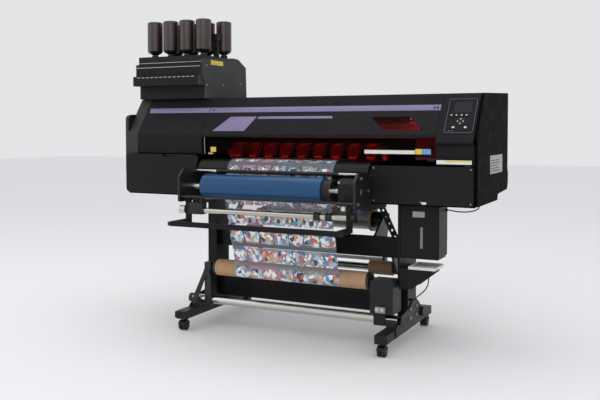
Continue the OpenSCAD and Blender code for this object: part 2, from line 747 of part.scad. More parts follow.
module carriage_rail() at_origin() color(silver) {
    wall = 5;
    difference() {
        block([-rail_x, rail_y0, rail_z0], [rail_x, rail_y1, rail_z1]);
        block([-rail_x - 1, rail_y0 + wall, rail_z0 + wall], [rail_x + 1, rail_y1 - wall, rail_z1 - wall]);
    }
    block([-rail_x, rail_y0 - 8, rail_z0 + 45], [rail_x, rail_y0, rail_z0 + 57]);
    for (x = [-pulley_x, pulley_x]) z_rod(rail_z1, rail_z1 + 24, x, belt_y, 4);
}

module stadium(r) {
    square([2 * pulley_x, 2 * r], center = true);
    for (x = [-pulley_x, pulley_x]) translate([x, 0]) circle(r);
}

module carriage_belt() at_origin() color(black)
    translate([0, belt_y, rail_z1 + 9]) linear_extrude(10) difference() {
        stadium(pulley_r + clear + belt_t);
        stadium(pulley_r + clear);
    }

module belt_pulley(x) difference() {
    union() {
        z_rod(rail_z1 + 7.5, rail_z1 + 20.5, x, belt_y, pulley_r);
        z_rod(rail_z1 + 6, rail_z1 + 7.5, x, belt_y, pulley_r + 4);
        z_rod(rail_z1 + 20.5, rail_z1 + 22, x, belt_y, pulley_r + 4);
    }
    z_rod(rail_z1, rail_z1 + 30, x, belt_y, 4 + fit);
}

module drive_pulley() at_origin() color(silver) belt_pulley(pulley_x);
module idler_pulley() at_origin() color(silver) belt_pulley(-pulley_x);

module carriage() at_origin() color(charcoal) {
    z0 = platen_top + 15;
    z1 = z_pan + 378;
    lamp_w = 24;
    block([carriage_x0 + lamp_w, 150, z0], [carriage_x1 - lamp_w, 262, z1]);
    for (x = [carriage_x0, carriage_x1 - lamp_w]) block([x, 158, z0 - 3], [x + lamp_w, 254, z1 - 40]);
    for (x = [carriage_x0 + 50, carriage_x1 - 90]) block([x, 170, z0 - 9], [x + 40, 245, z0]);
    block([carriage_x0 + lamp_w, 262, rail_z0 + 12], [carriage_x1 - lamp_w, rail_y0 - 8 - clear, z1]);
    for (z = [rail_z0 + 33, rail_z0 + 57 + clear])
        block([carriage_x0 + lamp_w, rail_y0 - 8 - clear, z],
            [carriage_x1 - lamp_w, rail_y0 - clear, z + 12 - clear]);
    mid = (carriage_x0 + carriage_x1) / 2;
    run_y = belt_y - pulley_r - clear - belt_t;
    block([mid - 20, 330, z1], [mid + 20, rail_y0 - 8 - clear, rail_z1 + 22]);
    block([mid - 20, rail_y0 - 8 - clear, rail_z1 + clear], [mid + 20, run_y - clear, rail_z1 + 22]);
    block([mid - 20, run_y - clear, rail_z1 + 19 + clear], [mid + 20, run_y + belt_t + 6, rail_z1 + 22]);
    block([mid - 20, run_y + belt_t + clear, rail_z1 + 10], [mid + 20, run_y + belt_t + 6, rail_z1 + 20]);
}

// ---- Control panel ----

pad_x = x_right - 92;
function function_key_x() = [x_right - 140, x_right - 116, x_right - 91, x_right - 68];
function big_key_x() = [x_right - 121, x_right - 64];

module display_screen() at_origin() color([0.25, 0.33, 0.3])
    on_slant(display_x, display_u) {
        translate([0, 0, -2.3]) cube([display_w, display_h, 3.4], center = true);
        translate([0, 0, -cover_t - 1.55]) cube([display_w + 10, display_h + 10, 3], center = true);
    }

// Rectangular key: cap through the cover and a wider flange behind it
module key_block(x, u, w, h) on_slant(x, u) {
    slant_plate(w, h, 1.5, -cover_t - clear, key_proud);
    slant_plate(w + 4, h + 4, 2, -cover_t - clear - 2, -cover_t - clear);
}

module function_key(i) at_origin() color([0.6, 0.6, 0.62]) key_block(function_key_x()[i], key_row_u, 16, 9);
module function_key_1() function_key(0);
module function_key_2() function_key(1);
module function_key_3() function_key(2);
module function_key_4() function_key(3);

module arrow_pad() at_origin() color([0.55, 0.55, 0.57]) on_slant(pad_x, pad_u) {
    translate([0, 0, -cover_t - clear]) cylinder(h = key_proud + cover_t + clear, r = pad_r);
    translate([0, 0, -cover_t - clear - 2]) cylinder(h = 2, r = pad_r + 2);
}

module power_key() at_origin() color([0.55, 0.55, 0.57]) key_block(big_key_x()[0], big_key_u, 28, 12);
module enter_key() at_origin() color([0.55, 0.55, 0.57]) key_block(big_key_x()[1], big_key_u, 28, 12);

// ---- Ink unit ----

module ink_case() at_origin() color(black) {
    bottom = case_base(ink_front);
    profile = [[ink_front, bottom], [ink_front, ink_drawer_z], [ink_front - 65, ink_drawer_z],
        [ink_front - 65, ink_layer_z - 3], [ink_front - 60, ink_layer_z], [ink_front - 37, ink_layer_z],
        [ink_front - 37, ink_top_z], [ink_back - 12, ink_top_z], [ink_back, ink_top_z - 12],
        [ink_back, case_base(ink_back)]];
    cheek = [[ink_front, bottom], [ink_front, ink_drawer_z - 4], [ink_front - 32, ink_layer_z],
        [ink_front - 32, deck_top_z - 24], [ink_back - 160, deck_top_z + 3],
        [ink_back - 130, deck_top_z + 3], [ink_back - 95, deck_top_z], [ink_back - 8, ink_top_z],
        [ink_back, case_base(ink_back)]];
    difference() {
        side_prism(ink_x0, ink_x1 - deck_side, profile);
        block([ink_x0 + cover_t, ink_front + cover_t, case_base(ink_back) + cover_t],
            [ink_x1 - deck_side - 1, ink_back - 15, ink_top_z - cover_t]);
    }
    side_prism(ink_x1 - deck_side, ink_x1, cheek);
}

function case_base(y) = roof_z(y) + 0.1;

module ink_deck() at_origin() color(charcoal) {
    wall = 4;
    x1 = ink_x1 - deck_side;
    y0 = ink_front - 18;
    y1 = ink_back - 170;
    difference() {
        block([ink_x0 + 6, y0, ink_top_z], [x1, y1, deck_top_z]);
        block([ink_x0 + 6 + wall, y0 + wall, deck_floor_z], [x1 - wall, y1 - wall, deck_top_z + 1]);
    }
    for (row = [0, 1]) for (k = [0:3]) let (x = bottle_row_x[row] + k * bottle_pitch) difference() {
        z_rod(deck_floor_z, deck_floor_z + 18, x, bottle_row_y[row], socket_r);
        z_rod(deck_floor_z + 1, deck_floor_z + 19, x, bottle_row_y[row], neck_r + clear);
    }
    block([x1 - 34, 326, deck_floor_z], [x1 - 8, 350, deck_top_z + 96]);
    block([x1 - 38, 316, deck_top_z + 96], [x1 - 2, 364, deck_top_z + 132]);
}

module ink_bottles() at_origin() color([0.2, 0.09, 0.06]) {
    r = bottle_d / 2;
    for (row = [0, 1]) for (k = [0:3])
        translate([bottle_row_x[row] + k * bottle_pitch, bottle_row_y[row], deck_floor_z + 1])
            rotate_extrude() polygon([[0, 0], [neck_r, 0], [neck_r, 56], [neck_r + 6, 60], [r - 5, 69],
                [r, 78], [r, bottle_h - 10], [r - 3, bottle_h - 3], [r - 10, bottle_h], [0, bottle_h]]);
}

// ---- Laminating unit ----

module lam_plate(x0, outer) {
    profile = rounded_closed([[-150, z_pan - 17], [-150, z_pan + 113], [-110, z_pan + 153],
        [18, z_pan + 153], [29, z_pan + 145], [56, z_pan + 120], [56, z_pan - 17]], 12, 4);
    difference() {
        side_prism(x0, x0 + lam_plate_t, profile);
        x_rod(x0 - 1, x0 + lam_plate_t + 1, lam_y, lam_z, lam_shaft_r + fit);
        x_rod(x0 - 1, x0 + lam_plate_t + 1, press_y, lam_z, press_shaft_r + fit);
    }
}

module laminator_frame() at_origin() color(black) {
    lam_plate(lam_x0, -1);
    lam_plate(lam_x1 - lam_plate_t, 1);
    for (x = [lam_x0, lam_x1 - 40]) {
        block([x, 20, z_pan - 37], [x + 40, leg_front - 20, z_pan - pan_t]);
        block([x, 20, z_pan - 18], [x + 40, 56, z_pan - 6]);
    }
    x_rod(lam_x0 + lam_plate_t, lam_x1 - lam_plate_t, guide_y, guide_z, 8);
    x_rod(-360, 340, guide_y, guide_z, 10);
    x_rod(lam_x0 + lam_plate_t, lam_x1 - lam_plate_t, lam_y - lam_roller_d / 2 + 4, z_pan + 12, 6);
    difference() {
        block([guard_x0 + guard_t + 3, tension_y - 22, tension_z - 20],
            [guard_x0 + guard_t + 84, tension_y + 22, tension_z + 40]);
        x_rod(guard_x0, guard_x0 + guard_t + 90, tension_y, tension_z, tension_d / 2 + clear);
    }
    block([guard_x0 + guard_t + 3, arm_y + guard_t + 1, tension_z + 30],
        [guard_x0 + guard_t + 30, arm_y + guard_t + 22, z_pan + 10]);
    block([lam_x0 + lam_plate_t, arm_y + guard_t + 1, z_pan - 10],
        [guard_x0 + guard_t + 30, arm_y + guard_t + 22, z_pan + 10]);
}

module laminating_roller() at_origin() color([0.05, 0.2, 0.6]) {
    difference() {
        x_rod(roller_x0, roller_x1, lam_y, lam_z, lam_roller_d / 2);
        x_rod(roller_x0 + 12, roller_x1 - 12, lam_y, lam_z, lam_roller_d / 2 - 18);
    }
    x_rod(roller_x1, roller_x1 + collar_w, lam_y, lam_z, lam_roller_d / 2 - 10);
    x_rod(roller_x0 - 14, roller_x0, lam_y, lam_z, lam_roller_d / 2 - 18);
    x_rod(lam_x0 - 4, lam_x1 + 4, lam_y, lam_z, lam_shaft_r);
}

module pressure_roller() at_origin() color(charcoal) {
    x_rod(roller_x0, roller_x1 + collar_w, press_y, lam_z, press_roller_d / 2);
    x_rod(lam_x0 - 4, lam_x1 + 4, press_y, lam_z, press_shaft_r);
}

module laminator_drive() at_origin() color(black) {
    x0 = roller_x1 + collar_w + 27;
    x1 = lam_x1 - lam_plate_t;
    front = arm_y + guard_t + 2;
    difference() {
        side_prism(x0, x1, rounded_closed([[front, z_pan - 5], [front, z_pan + 100], [-62, z_pan + 122],
            [50, z_pan + 122], [50, z_pan - 5]], 8, 4));
        x_rod(x0 - 1, x1 + 1, lam_y, lam_z, lam_shaft_r + 2);
        x_rod(x0 - 1, x1 + 1, press_y, lam_z, press_shaft_r + 2);
    }
    y_rod(front - 14, front, x0 + 28, z_pan + 34, 14);
    block([x0 + 8, front - 10, z_pan + 2], [x0 + 50, front, z_pan + 14]);
}

module guard_bar() at_origin() color(black) {
    t = guard_t;
    top = z_pan + 18;
    difference() {
        union() {
            block([guard_x0, guard_front, guard_z], [guard_x1, guard_front + t, guard_z + t]);
            for (x = [guard_x0, guard_x1 - t]) {
                block([x, guard_front + t, guard_z], [x + t, arm_y + t, guard_z + t]);
                block([x, arm_y, guard_z + t], [x + t, arm_y + t, top]);
            }
            block([lam_x0 + lam_plate_t, arm_y, z_pan - 10], [guard_x0, arm_y + t, top]);
            block([guard_x1, arm_y, z_pan - 10], [lam_x1 - lam_plate_t, arm_y + t, top]);
        }
        x_rod(guard_x0 - 1, guard_x1 + 1, tension_y, tension_z, tension_journal_r + fit);
    }
}

module tension_shaft() at_origin() color(silver) {
    y = tension_y;
    r = tension_d / 2;
    x0 = guard_x0 + guard_t + clear;
    x1 = guard_x1 - guard_t - clear;
    x_rod(x0, x1, y, tension_z, r);
    x_rod(guard_x0 - 38, guard_x1 + 20, y, tension_z, tension_journal_r);
    x_rod(guard_x0 - 38, guard_x0 - 3, y, tension_z, 21);
    x_rod(guard_x1 + 3, guard_x1 + 20, y, tension_z, 22);
    for (x = [x1 - 168, x1 - 106]) x_rod(x, x + 30, y, tension_z, r + 7);
}

// ---- Take-up unit ----

module takeup_rail() at_origin() {
    x0 = -foot_x - 56;
    x1 = foot_x + 29;
    color(silver) difference() {
        x_rod(x0 + 24, x1, rail_y, rail_z, rail_d / 2);
        x_rod(x0, x1 + 1, rail_y, rail_z, rail_d / 2 - 3);
    }
    color(black) {
        x_rod(x0, x0 + 24, rail_y, rail_z, rail_d / 2 + 2);
        for (s = [-1, 1]) difference() {
            block([s * foot_x - 25, rail_y - 32, foot_top], [s * foot_x + 25, rail_y + 32, rail_z + 4]);
            x_rod(s * foot_x - 26, s * foot_x + 26, rail_y, rail_z, rail_d / 2 + 0.2);
        }
        difference() {
            block([-515, rail_y - 30, rail_z - 30], [-475, rail_y + 30, takeup_z + 26]);
            x_rod(-516, -474, rail_y, rail_z, rail_d / 2 + 0.2);
            x_rod(-516, -474, rail_y, takeup_z, hub_journal_r + fit);
        }
        front_prism(rail_y - 36, rail_y - 30.5, [[-600, rail_z - 16], [-566, rail_z - 16],
            [-500, takeup_z - 40], [-514, takeup_z - 16]]);
        block([-516, rail_y - 36, takeup_z - 46], [-480, rail_y - 30, takeup_z - 12]);
    }
}

module takeup_drive() at_origin() {
    color(black) {
        difference() {
            block([motor_x0, rail_y - 60, rail_z + 36], [motor_x1, rail_y + 60, takeup_z + 14]);
            x_rod(motor_x0 - 1, motor_x0 + 30, rail_y, takeup_z, hub_journal_r + fit);
        }
        difference() {
            block([motor_x0 + 8, rail_y - 30, rail_z - 28], [motor_x0 + 68, rail_y + 30, rail_z + 36]);
            x_rod(motor_x0, motor_x0 + 90, rail_y, rail_z, rail_d / 2 + 0.2);
        }
    }
    color(silver) block([motor_x0 + 32, rail_y - 72, rail_z + 44], [motor_x0 + 84, rail_y - 60, rail_z + 74]);
}

module takeup_core() at_origin() {
    color(kraft) difference() {
        x_rod(-takeup_x, takeup_x, rail_y, takeup_z, core_r);
        x_rod(-takeup_x - 1, takeup_x + 1, rail_y, takeup_z, core_r - core_wall);
    }
    color(black) for (s = [-1, 1]) {
        hub = core_r - core_wall;
        x_rod(s > 0 ? takeup_x - 60 : -takeup_x - 1, s > 0 ? takeup_x + 1 : -takeup_x + 60, rail_y, takeup_z, hub);
        x_rod(s > 0 ? takeup_x : -takeup_x - 14, s > 0 ? takeup_x + 14 : -takeup_x, rail_y, takeup_z, core_r + 1);
        x_rod(s > 0 ? takeup_x + 14 : -takeup_x - 74, s > 0 ? takeup_x + 58 : -takeup_x - 14, rail_y, takeup_z,
            hub_journal_r);
    }
}

// ---- Rear rolls ----

module supply_roll() at_origin() {
    flange_r = supply_d / 2 + 8;
    color([0.75, 0.76, 0.78]) x_rod(film_x0, film_x1, supply_y, supply_z, supply_d / 2);
    color(kraft) for (x = [film_x0 - supply_flange_t, film_x1])
        x_rod(x, x + supply_flange_t, supply_y, supply_z, flange_r);
    color(black) {
        x_rod(film_x1 + supply_flange_t, film_x1 + supply_flange_t + hub_w, supply_y, supply_z, core_r);
        x_rod(film_x0 - supply_flange_t - hub_w, film_x0 - supply_flange_t, supply_y, supply_z, core_r);
        x_rod(film_x0 - supply_flange_t - hub_w - 24, film_x1 + supply_flange_t + hub_w + 24, supply_y,
            supply_z, hub_journal_r);
    }
}

module rear_core() at_origin() {
    color(silver) x_rod(-456, 456, rear_core_y, rear_core_z, 20);
    color(kraft) for (x = [-456, 322]) x_rod(x, x + 134, rear_core_y, rear_core_z, 38);
    color(black) {
        for (x = [-474, 456]) x_rod(x, x + 18, rear_core_y, rear_core_z, 30);
        x_rod(-494, 494, rear_core_y, rear_core_z, hub_journal_r);
    }
}

module rear_frame() at_origin() {
    color(black) {
        for (x = [film_x0 - supply_flange_t - hub_w - 20, film_x1 + supply_flange_t + hub_w + 8]) difference() {
            side_prism(x, x + 12, [[beam_y1 + 0.1, beam_z0 + 4], [beam_y1 + 0.1, beam_z1 - 4],
                [supply_y - 40, supply_z + 34], [supply_y + 36, supply_z + 34], [supply_y + 36, supply_z - 30],
                [supply_y + 4, beam_z1 - 20], [supply_y + 4, beam_z0 - 66], [supply_y - 40, beam_z0 - 66],
                [supply_y - 40, beam_z0 + 4]]);
            x_rod(x - 1, x + 13, supply_y, supply_z, hub_journal_r + fit);
        }
        for (x = [-490, 478]) difference() {
            side_prism(x, x + 12, [[beam_y1 + 0.1, beam_z0 + 4], [beam_y1 + 0.1, beam_z0 + 50],
                [beam_y1 + 40, beam_z0 + 50], [rear_core_y + 30, rear_core_z + 30],
                [rear_core_y + 30, rear_core_z - 26], [rear_core_y - 26, rear_core_z - 26]]);
            x_rod(x - 1, x + 13, rear_core_y, rear_core_z, hub_journal_r + fit);
        }
    }
    color([0.85, 0.86, 0.87]) block([film_x0 - supply_flange_t - hub_w - 8, supply_y - 25, beam_z0 - 58],
        [film_x1 + supply_flange_t + hub_w + 8, supply_y - 7, beam_z0 - 40]);
}

// ---- Waste tank, tray and brackets ----

module waste_tank() at_origin() color(black) {
    difference() {
        front_prism(tank_y0, tank_y1, rounded_closed([[tank_x0, tank_z0], [tank_x0, tank_z1],
            [tank_x1, tank_z1], [tank_x1, tank_z0]], 6, 4));
        block([tank_x0 + 4, tank_y0 + 6, tank_z0 + 4], [tank_x1 - 4, tank_y1 - 4, tank_z1 - 4]);
        front_prism(tank_y0 - 1, tank_y0 + 3, rounded_closed([[tank_x0 + 98, tank_z0 + 42],
            [tank_x0 + 98, tank_z0 + 150], [tank_x0 + 115, tank_z0 + 150], [tank_x0 + 115, tank_z0 + 42]], 7, 4));
    }
    x_rod(tank_x1, tank_x1 + 6, 275, tank_z1 - 25, 7);
}

module drip_tray() at_origin() color([0.85, 0.88, 0.84]) {
    x0 = leg_x1 + 56;
    difference() {
        block([x0, 125, shelf_z + 0.2], [x0 + 135, 277, shelf_z + 14]);
        block([x0 + 2, 127, shelf_z + 2.2], [x0 + 133, 275, shelf_z + 15]);
    }
}

module side_brackets() at_origin() color(black) {
    block([leg_x1, 150, shelf_z - 12], [leg_x1 + 5, leg_front, z_pan - pan_t]);
    block([leg_x1 + 5, 156, tank_z0 - 8], [tank_x1 - 6, 290, tank_z0 - 1]);
    block([leg_x1 + 5, 132, shelf_z - 12], [leg_x1 + 172, 290, shelf_z]);
    for (y = [140, 266]) front_prism(y, y + 5, [[leg_x1 + 5, shelf_z - 105], [leg_x1 + 5, shelf_z - 12],
        [leg_x1 + 170, shelf_z - 12], [leg_x1 + 170, shelf_z - 20], [leg_x1 + 72, shelf_z - 98]]);
    block([leg_x1, 150, shelf_z - 105], [leg_x1 + 5, leg_front, shelf_z - 12]);
    z_rod(shelf_z - 24, shelf_z - 12, 712, 284, 6);
}

// ---- Film web ----

// From the take-up core, round its front, up to the laminating rollers
function lower_web() = concat([for (k = [0:8]) [rail_y, takeup_z]
    + (core_r + 1.8) * [cos(270 - 90 * k / 8), sin(270 - 90 * k / 8)]],
    [[rail_y - core_r - 4, takeup_z + 40], [nip_y + 19.5, lam_z - 90], [nip_y, lam_z - 22]]);

// From the supply roll, through the slot in the pan, over the platen and down to the rollers
function upper_web() = concat([[nip_y, lam_z + 23]],
    [for (k = [8:-1:0]) [platen_front, platen_top - apron_r]
        + (apron_r + 3) * [cos(90 + 78 * k / 8), sin(90 + 78 * k / 8)]],
    rounded_open([[platen_front + 5, film_z + film_t], [platen_back + 10, film_z + film_t],
        [519, film_z - 70], [519, z_pan - 8], [supply_y - supply_d / 2 - 2, supply_z + 10]], 30, 6));

module film_web() at_origin() color([0.75, 0.8, 0.85, 0.5]) {
    side_prism(film_x0, film_x1, strip(lower_web(), 1.2));
    side_prism(film_x0, film_x1, strip(upper_web(), film_t));
}

// ---- Cables ----

module cable_tank() at_origin() color(black) tube_along(cable_tank_route, cable_d / 2);
module cable_foot() at_origin() color(black) tube_along(cable_foot_route, cable_d / 2);

foot_beams();
leg_posts();
cross_members();
caster_stems();
caster_fork_front_left();
caster_fork_front_right();
caster_fork_rear_left();
caster_fork_rear_right();
caster_wheels_front_left();
caster_wheels_front_right();
caster_wheels_rear_left();
caster_wheels_rear_right();
main_beam();
bottom_pan();
rear_cover();
left_end_cover();
right_end_cover();
left_front_cover();
right_front_cover();
front_cover();
front_window();
maintenance_cover();
right_lower_cover();
platen();
grit_roller();
pinch_bar();
carriage_rail();
carriage();
carriage_belt();
drive_pulley();
idler_pulley();
display_screen();
function_key_1();
function_key_2();
function_key_3();
function_key_4();
arrow_pad();
enter_key();
power_key();
ink_case();
ink_deck();
ink_bottles();
laminator_frame();
laminating_roller();
pressure_roller();
laminator_drive();
guard_bar();
tension_shaft();
takeup_rail();
takeup_drive();
takeup_core();
supply_roll();
rear_core();
rear_frame();
waste_tank();
drip_tray();
side_brackets();
film_web();
cable_tank();
cable_foot();
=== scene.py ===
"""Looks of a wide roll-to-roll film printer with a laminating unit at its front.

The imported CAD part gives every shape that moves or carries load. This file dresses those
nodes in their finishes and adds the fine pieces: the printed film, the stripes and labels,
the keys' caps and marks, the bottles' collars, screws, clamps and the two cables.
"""

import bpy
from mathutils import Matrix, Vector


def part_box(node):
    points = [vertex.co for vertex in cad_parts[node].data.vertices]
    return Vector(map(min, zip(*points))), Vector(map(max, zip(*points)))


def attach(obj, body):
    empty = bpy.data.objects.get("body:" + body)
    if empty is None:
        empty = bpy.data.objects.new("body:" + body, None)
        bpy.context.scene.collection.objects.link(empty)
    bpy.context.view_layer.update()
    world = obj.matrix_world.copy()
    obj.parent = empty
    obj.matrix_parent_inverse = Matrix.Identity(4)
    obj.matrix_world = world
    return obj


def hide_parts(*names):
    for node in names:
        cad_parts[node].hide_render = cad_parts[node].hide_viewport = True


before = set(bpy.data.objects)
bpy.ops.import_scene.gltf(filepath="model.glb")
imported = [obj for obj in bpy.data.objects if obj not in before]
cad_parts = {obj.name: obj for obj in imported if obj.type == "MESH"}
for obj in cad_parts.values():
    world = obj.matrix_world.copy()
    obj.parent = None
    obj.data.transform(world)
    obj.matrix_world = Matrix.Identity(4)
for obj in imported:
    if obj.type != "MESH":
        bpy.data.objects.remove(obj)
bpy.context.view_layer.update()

import logging
import math
from dataclasses import dataclass
from enum import Enum

import bpy
from mathutils import Matrix, Vector

log = logging.getLogger("printer")

Point = tuple[float, float, float]
Flat = tuple[float, float]
Colour = tuple[float, float, float]


def tone(red: int, green: int, blue: int) -> Colour:
    """Turns a colour as it is seen on a screen into the linear values that shaders use.

    Args:
        red: Red, 0 to 255.
        green: Green, 0 to 255.
        blue: Blue, 0 to 255.

    Returns:
        The three linear values.
    """
    return tuple(
        v / 12.92 if v <= 0.04045 else ((v + 0.055) / 1.055) ** 2.4
        for v in (red / 255, green / 255, blue / 255)
    )


def axis_of(node: str) -> Flat:
    """Gives the Y and Z of the line that a turned node is centred on.

    Args:
        node: The CAD node.

    Returns:
        Y and Z, in metres.
    """
    low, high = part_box(node)
    return (low.y + high.y) / 2, (low.z + high.z) / 2


class Axis(Enum):
    """One of the machine's three directions."""

    X = 0
    Y = 1
    Z = 2


# --------------------------------------------------------------------------------------
# Finishes
# --------------------------------------------------------------------------------------


class Mixer:
    """Builds the node tree of one material around a single shader."""

    def __init__(self, name: str) -> None:
        """Starts an empty material.

        Args:
            name: The material's name.
        """
        self.material = bpy.data.materials.new(name)
        self.material.use_nodes = True
        self.tree = self.material.node_tree
        self.tree.nodes.clear()
        self.output = self.tree.nodes.new("ShaderNodeOutputMaterial")
        self.shader = self.tree.nodes.new("ShaderNodeBsdfPrincipled")
        self.join(self.shader.outputs[0], self.output.inputs[0])
        self.coordinates = self.tree.nodes.new("ShaderNodeTexCoord")
        self.split: dict[str, bpy.types.Node] = {}

    def join(self, source: bpy.types.NodeSocket, target: bpy.types.NodeSocket) -> None:
        """Links two sockets."""
        self.tree.links.new(source, target)

    def feed(self, target: bpy.types.NodeSocket, value: object) -> None:
        """Links a socket to an input, or sets the input to a number, vector or colour.

        Args:
            target: The input.
            value: A socket, a number, or three or four numbers.
        """
        if isinstance(value, bpy.types.NodeSocket):
            self.join(value, target)
        elif isinstance(value, (tuple, list)) and len(value) == 3 and target.type == "RGBA":
            target.default_value = (*value, 1.0)
        else:
            target.default_value = value

    def place(self, axis: Axis, source: str = "Object") -> bpy.types.NodeSocket:
        """Gives one coordinate of the surface point.

        Args:
            axis: Which coordinate.
            source: "Object" for metres in the machine's frame, or "UV".

        Returns:
            The coordinate's socket.
        """
        if source not in self.split:
            node = self.tree.nodes.new("ShaderNodeSeparateXYZ")
            self.join(self.coordinates.outputs[source], node.inputs[0])
            self.split[source] = node
        return self.split[source].outputs[axis.value]

    def maths(self, operation: str, *values: object, clamp: bool = False) -> bpy.types.NodeSocket:
        """Adds a Math node.

        Args:
            operation: The node's operation.
            *values: Up to three sockets or numbers.
            clamp: Whether the result stays between 0 and 1.

        Returns:
            The result's socket.
        """
        node = self.tree.nodes.new("ShaderNodeMath")
        node.operation = operation
        node.use_clamp = clamp
        for target, value in zip(node.inputs, values):
            self.feed(target, value)
        return node.outputs[0]

    def vector(self, x: object, y: object, z: object) -> bpy.types.NodeSocket:
        """Joins three numbers or sockets into one vector."""
        node = self.tree.nodes.new("ShaderNodeCombineXYZ")
        for target, value in zip(node.inputs, (x, y, z)):
            self.feed(target, value)
        return node.outputs[0]

    def stretched(self, stretch: Point) -> bpy.types.NodeSocket:
        """Gives the object coordinates multiplied along each axis."""
        node = self.tree.nodes.new("ShaderNodeVectorMath")
        node.operation = "MULTIPLY"
        self.join(self.coordinates.outputs["Object"], node.inputs[0])
        node.inputs[1].default_value = stretch
        return node.outputs[0]

    def noise(
        self, scale: float, detail: float = 3.0, stretch: Point | None = None, where: object = None
    ) -> bpy.types.NodeSocket:
        """Adds a noise texture.

        Args:
            scale: Repeats a metre.
            detail: The number of finer octaves.
            stretch: How much the pattern is squeezed along each axis.
            where: Coordinates to use in place of the object's.

        Returns:
            The noise's socket, about 0.3 to 0.7.
        """
        node = self.tree.nodes.new("ShaderNodeTexNoise")
        node.inputs["Scale"].default_value = scale
        node.inputs["Detail"].default_value = detail
        if where is not None:
            self.join(where, node.inputs["Vector"])
        elif stretch is not None:
            self.join(self.stretched(stretch), node.inputs["Vector"])
        else:
            self.join(self.coordinates.outputs["Object"], node.inputs["Vector"])
        return node.outputs[0]

    def cells(self, scale: float, where: object = None, feature: str = "F1") -> bpy.types.Node:
        """Adds a Voronoi texture and returns the node."""
        node = self.tree.nodes.new("ShaderNodeTexVoronoi")
        node.feature = feature
        node.inputs["Scale"].default_value = scale
        self.join(where or self.coordinates.outputs["Object"], node.inputs["Vector"])
        return node

    def spread(
        self, value: object, low: float, high: float, to_low: float, to_high: float
    ) -> bpy.types.NodeSocket:
        """Maps a range of a socket's values on to another, clamped at both ends."""
        node = self.tree.nodes.new("ShaderNodeMapRange")
        for key, number in (("Value", value), ("From Min", low), ("From Max", high),
                            ("To Min", to_low), ("To Max", to_high)):
            self.feed(node.inputs[key], number)
        return node.outputs[0]

    def within(self, value: object, low: float, high: float) -> bpy.types.NodeSocket:
        """Gives 1 where a value lies between two limits and 0 elsewhere."""
        above = self.maths("GREATER_THAN", value, low)
        below = self.maths("LESS_THAN", value, high)
        return self.maths("MULTIPLY", above, below)

    def blend(self, share: object, first: object, second: object) -> bpy.types.NodeSocket:
        """Mixes two colours: the first where share is 0, the second where it is 1."""
        node = self.tree.nodes.new("ShaderNodeMix")
        node.data_type = "RGBA"
        self.feed(node.inputs[0], share)
        self.feed(node.inputs[6], first)
        self.feed(node.inputs[7], second)
        return node.outputs[2]

    def mix(self, share: object, first: object, second: object) -> bpy.types.NodeSocket:
        """Mixes two numbers: the first where share is 0, the second where it is 1."""
        node = self.tree.nodes.new("ShaderNodeMix")
        self.feed(node.inputs[0], share)
        self.feed(node.inputs[2], first)
        self.feed(node.inputs[3], second)
        return node.outputs[0]

    def emboss(self, height: object, strength: float, distance: float) -> None:
        """Raises the surface by a height socket.

        Args:
            height: The height, 0 to 1.
            strength: How strongly it shows.
            distance: The height of 1, in metres.
        """
        node = self.tree.nodes.new("ShaderNodeBump")
        node.inputs["Strength"].default_value = strength
        node.inputs["Distance"].default_value = distance
        self.join(height, node.inputs["Height"])
        self.join(node.outputs[0], self.shader.inputs["Normal"])

    def set(self, name: str, value: object) -> None:
        """Sets or links one of the shader's own inputs."""
        self.feed(self.shader.inputs[name], value)


@dataclass(frozen=True)
class Slab:
    """The part of a node between two places along one axis."""

    axis: Axis
    low: float
    high: float

    def mask(self, mixer: Mixer) -> bpy.types.NodeSocket:
        """Gives 1 inside the slab."""
        return mixer.within(mixer.place(self.axis), self.low, self.high)


@dataclass(frozen=True)
class Bar:
    """The part of a node within a radius of a line along X, between two ends."""

    y: float
    z: float
    radius: float
    low: float = -9.0
    high: float = 9.0

    def mask(self, mixer: Mixer) -> bpy.types.NodeSocket:
        """Gives 1 inside the bar."""
        across = mixer.maths("SUBTRACT", mixer.place(Axis.Y), self.y)
        up = mixer.maths("SUBTRACT", mixer.place(Axis.Z), self.z)
        square = mixer.maths("ADD", mixer.maths("MULTIPLY", across, across),
                             mixer.maths("MULTIPLY", up, up))
        near = mixer.maths("LESS_THAN", square, self.radius**2)
        return mixer.maths("MULTIPLY", near, mixer.within(mixer.place(Axis.X), self.low, self.high))


@dataclass(frozen=True)
class Coat:
    """What one kind of surface looks like."""

    colour: Colour
    metallic: float = 0.0
    roughness: float = 0.5


@dataclass(frozen=True)
class Zone:
    """A part of a node with a coat of its own."""

    where: Slab | Bar
    coat: Coat


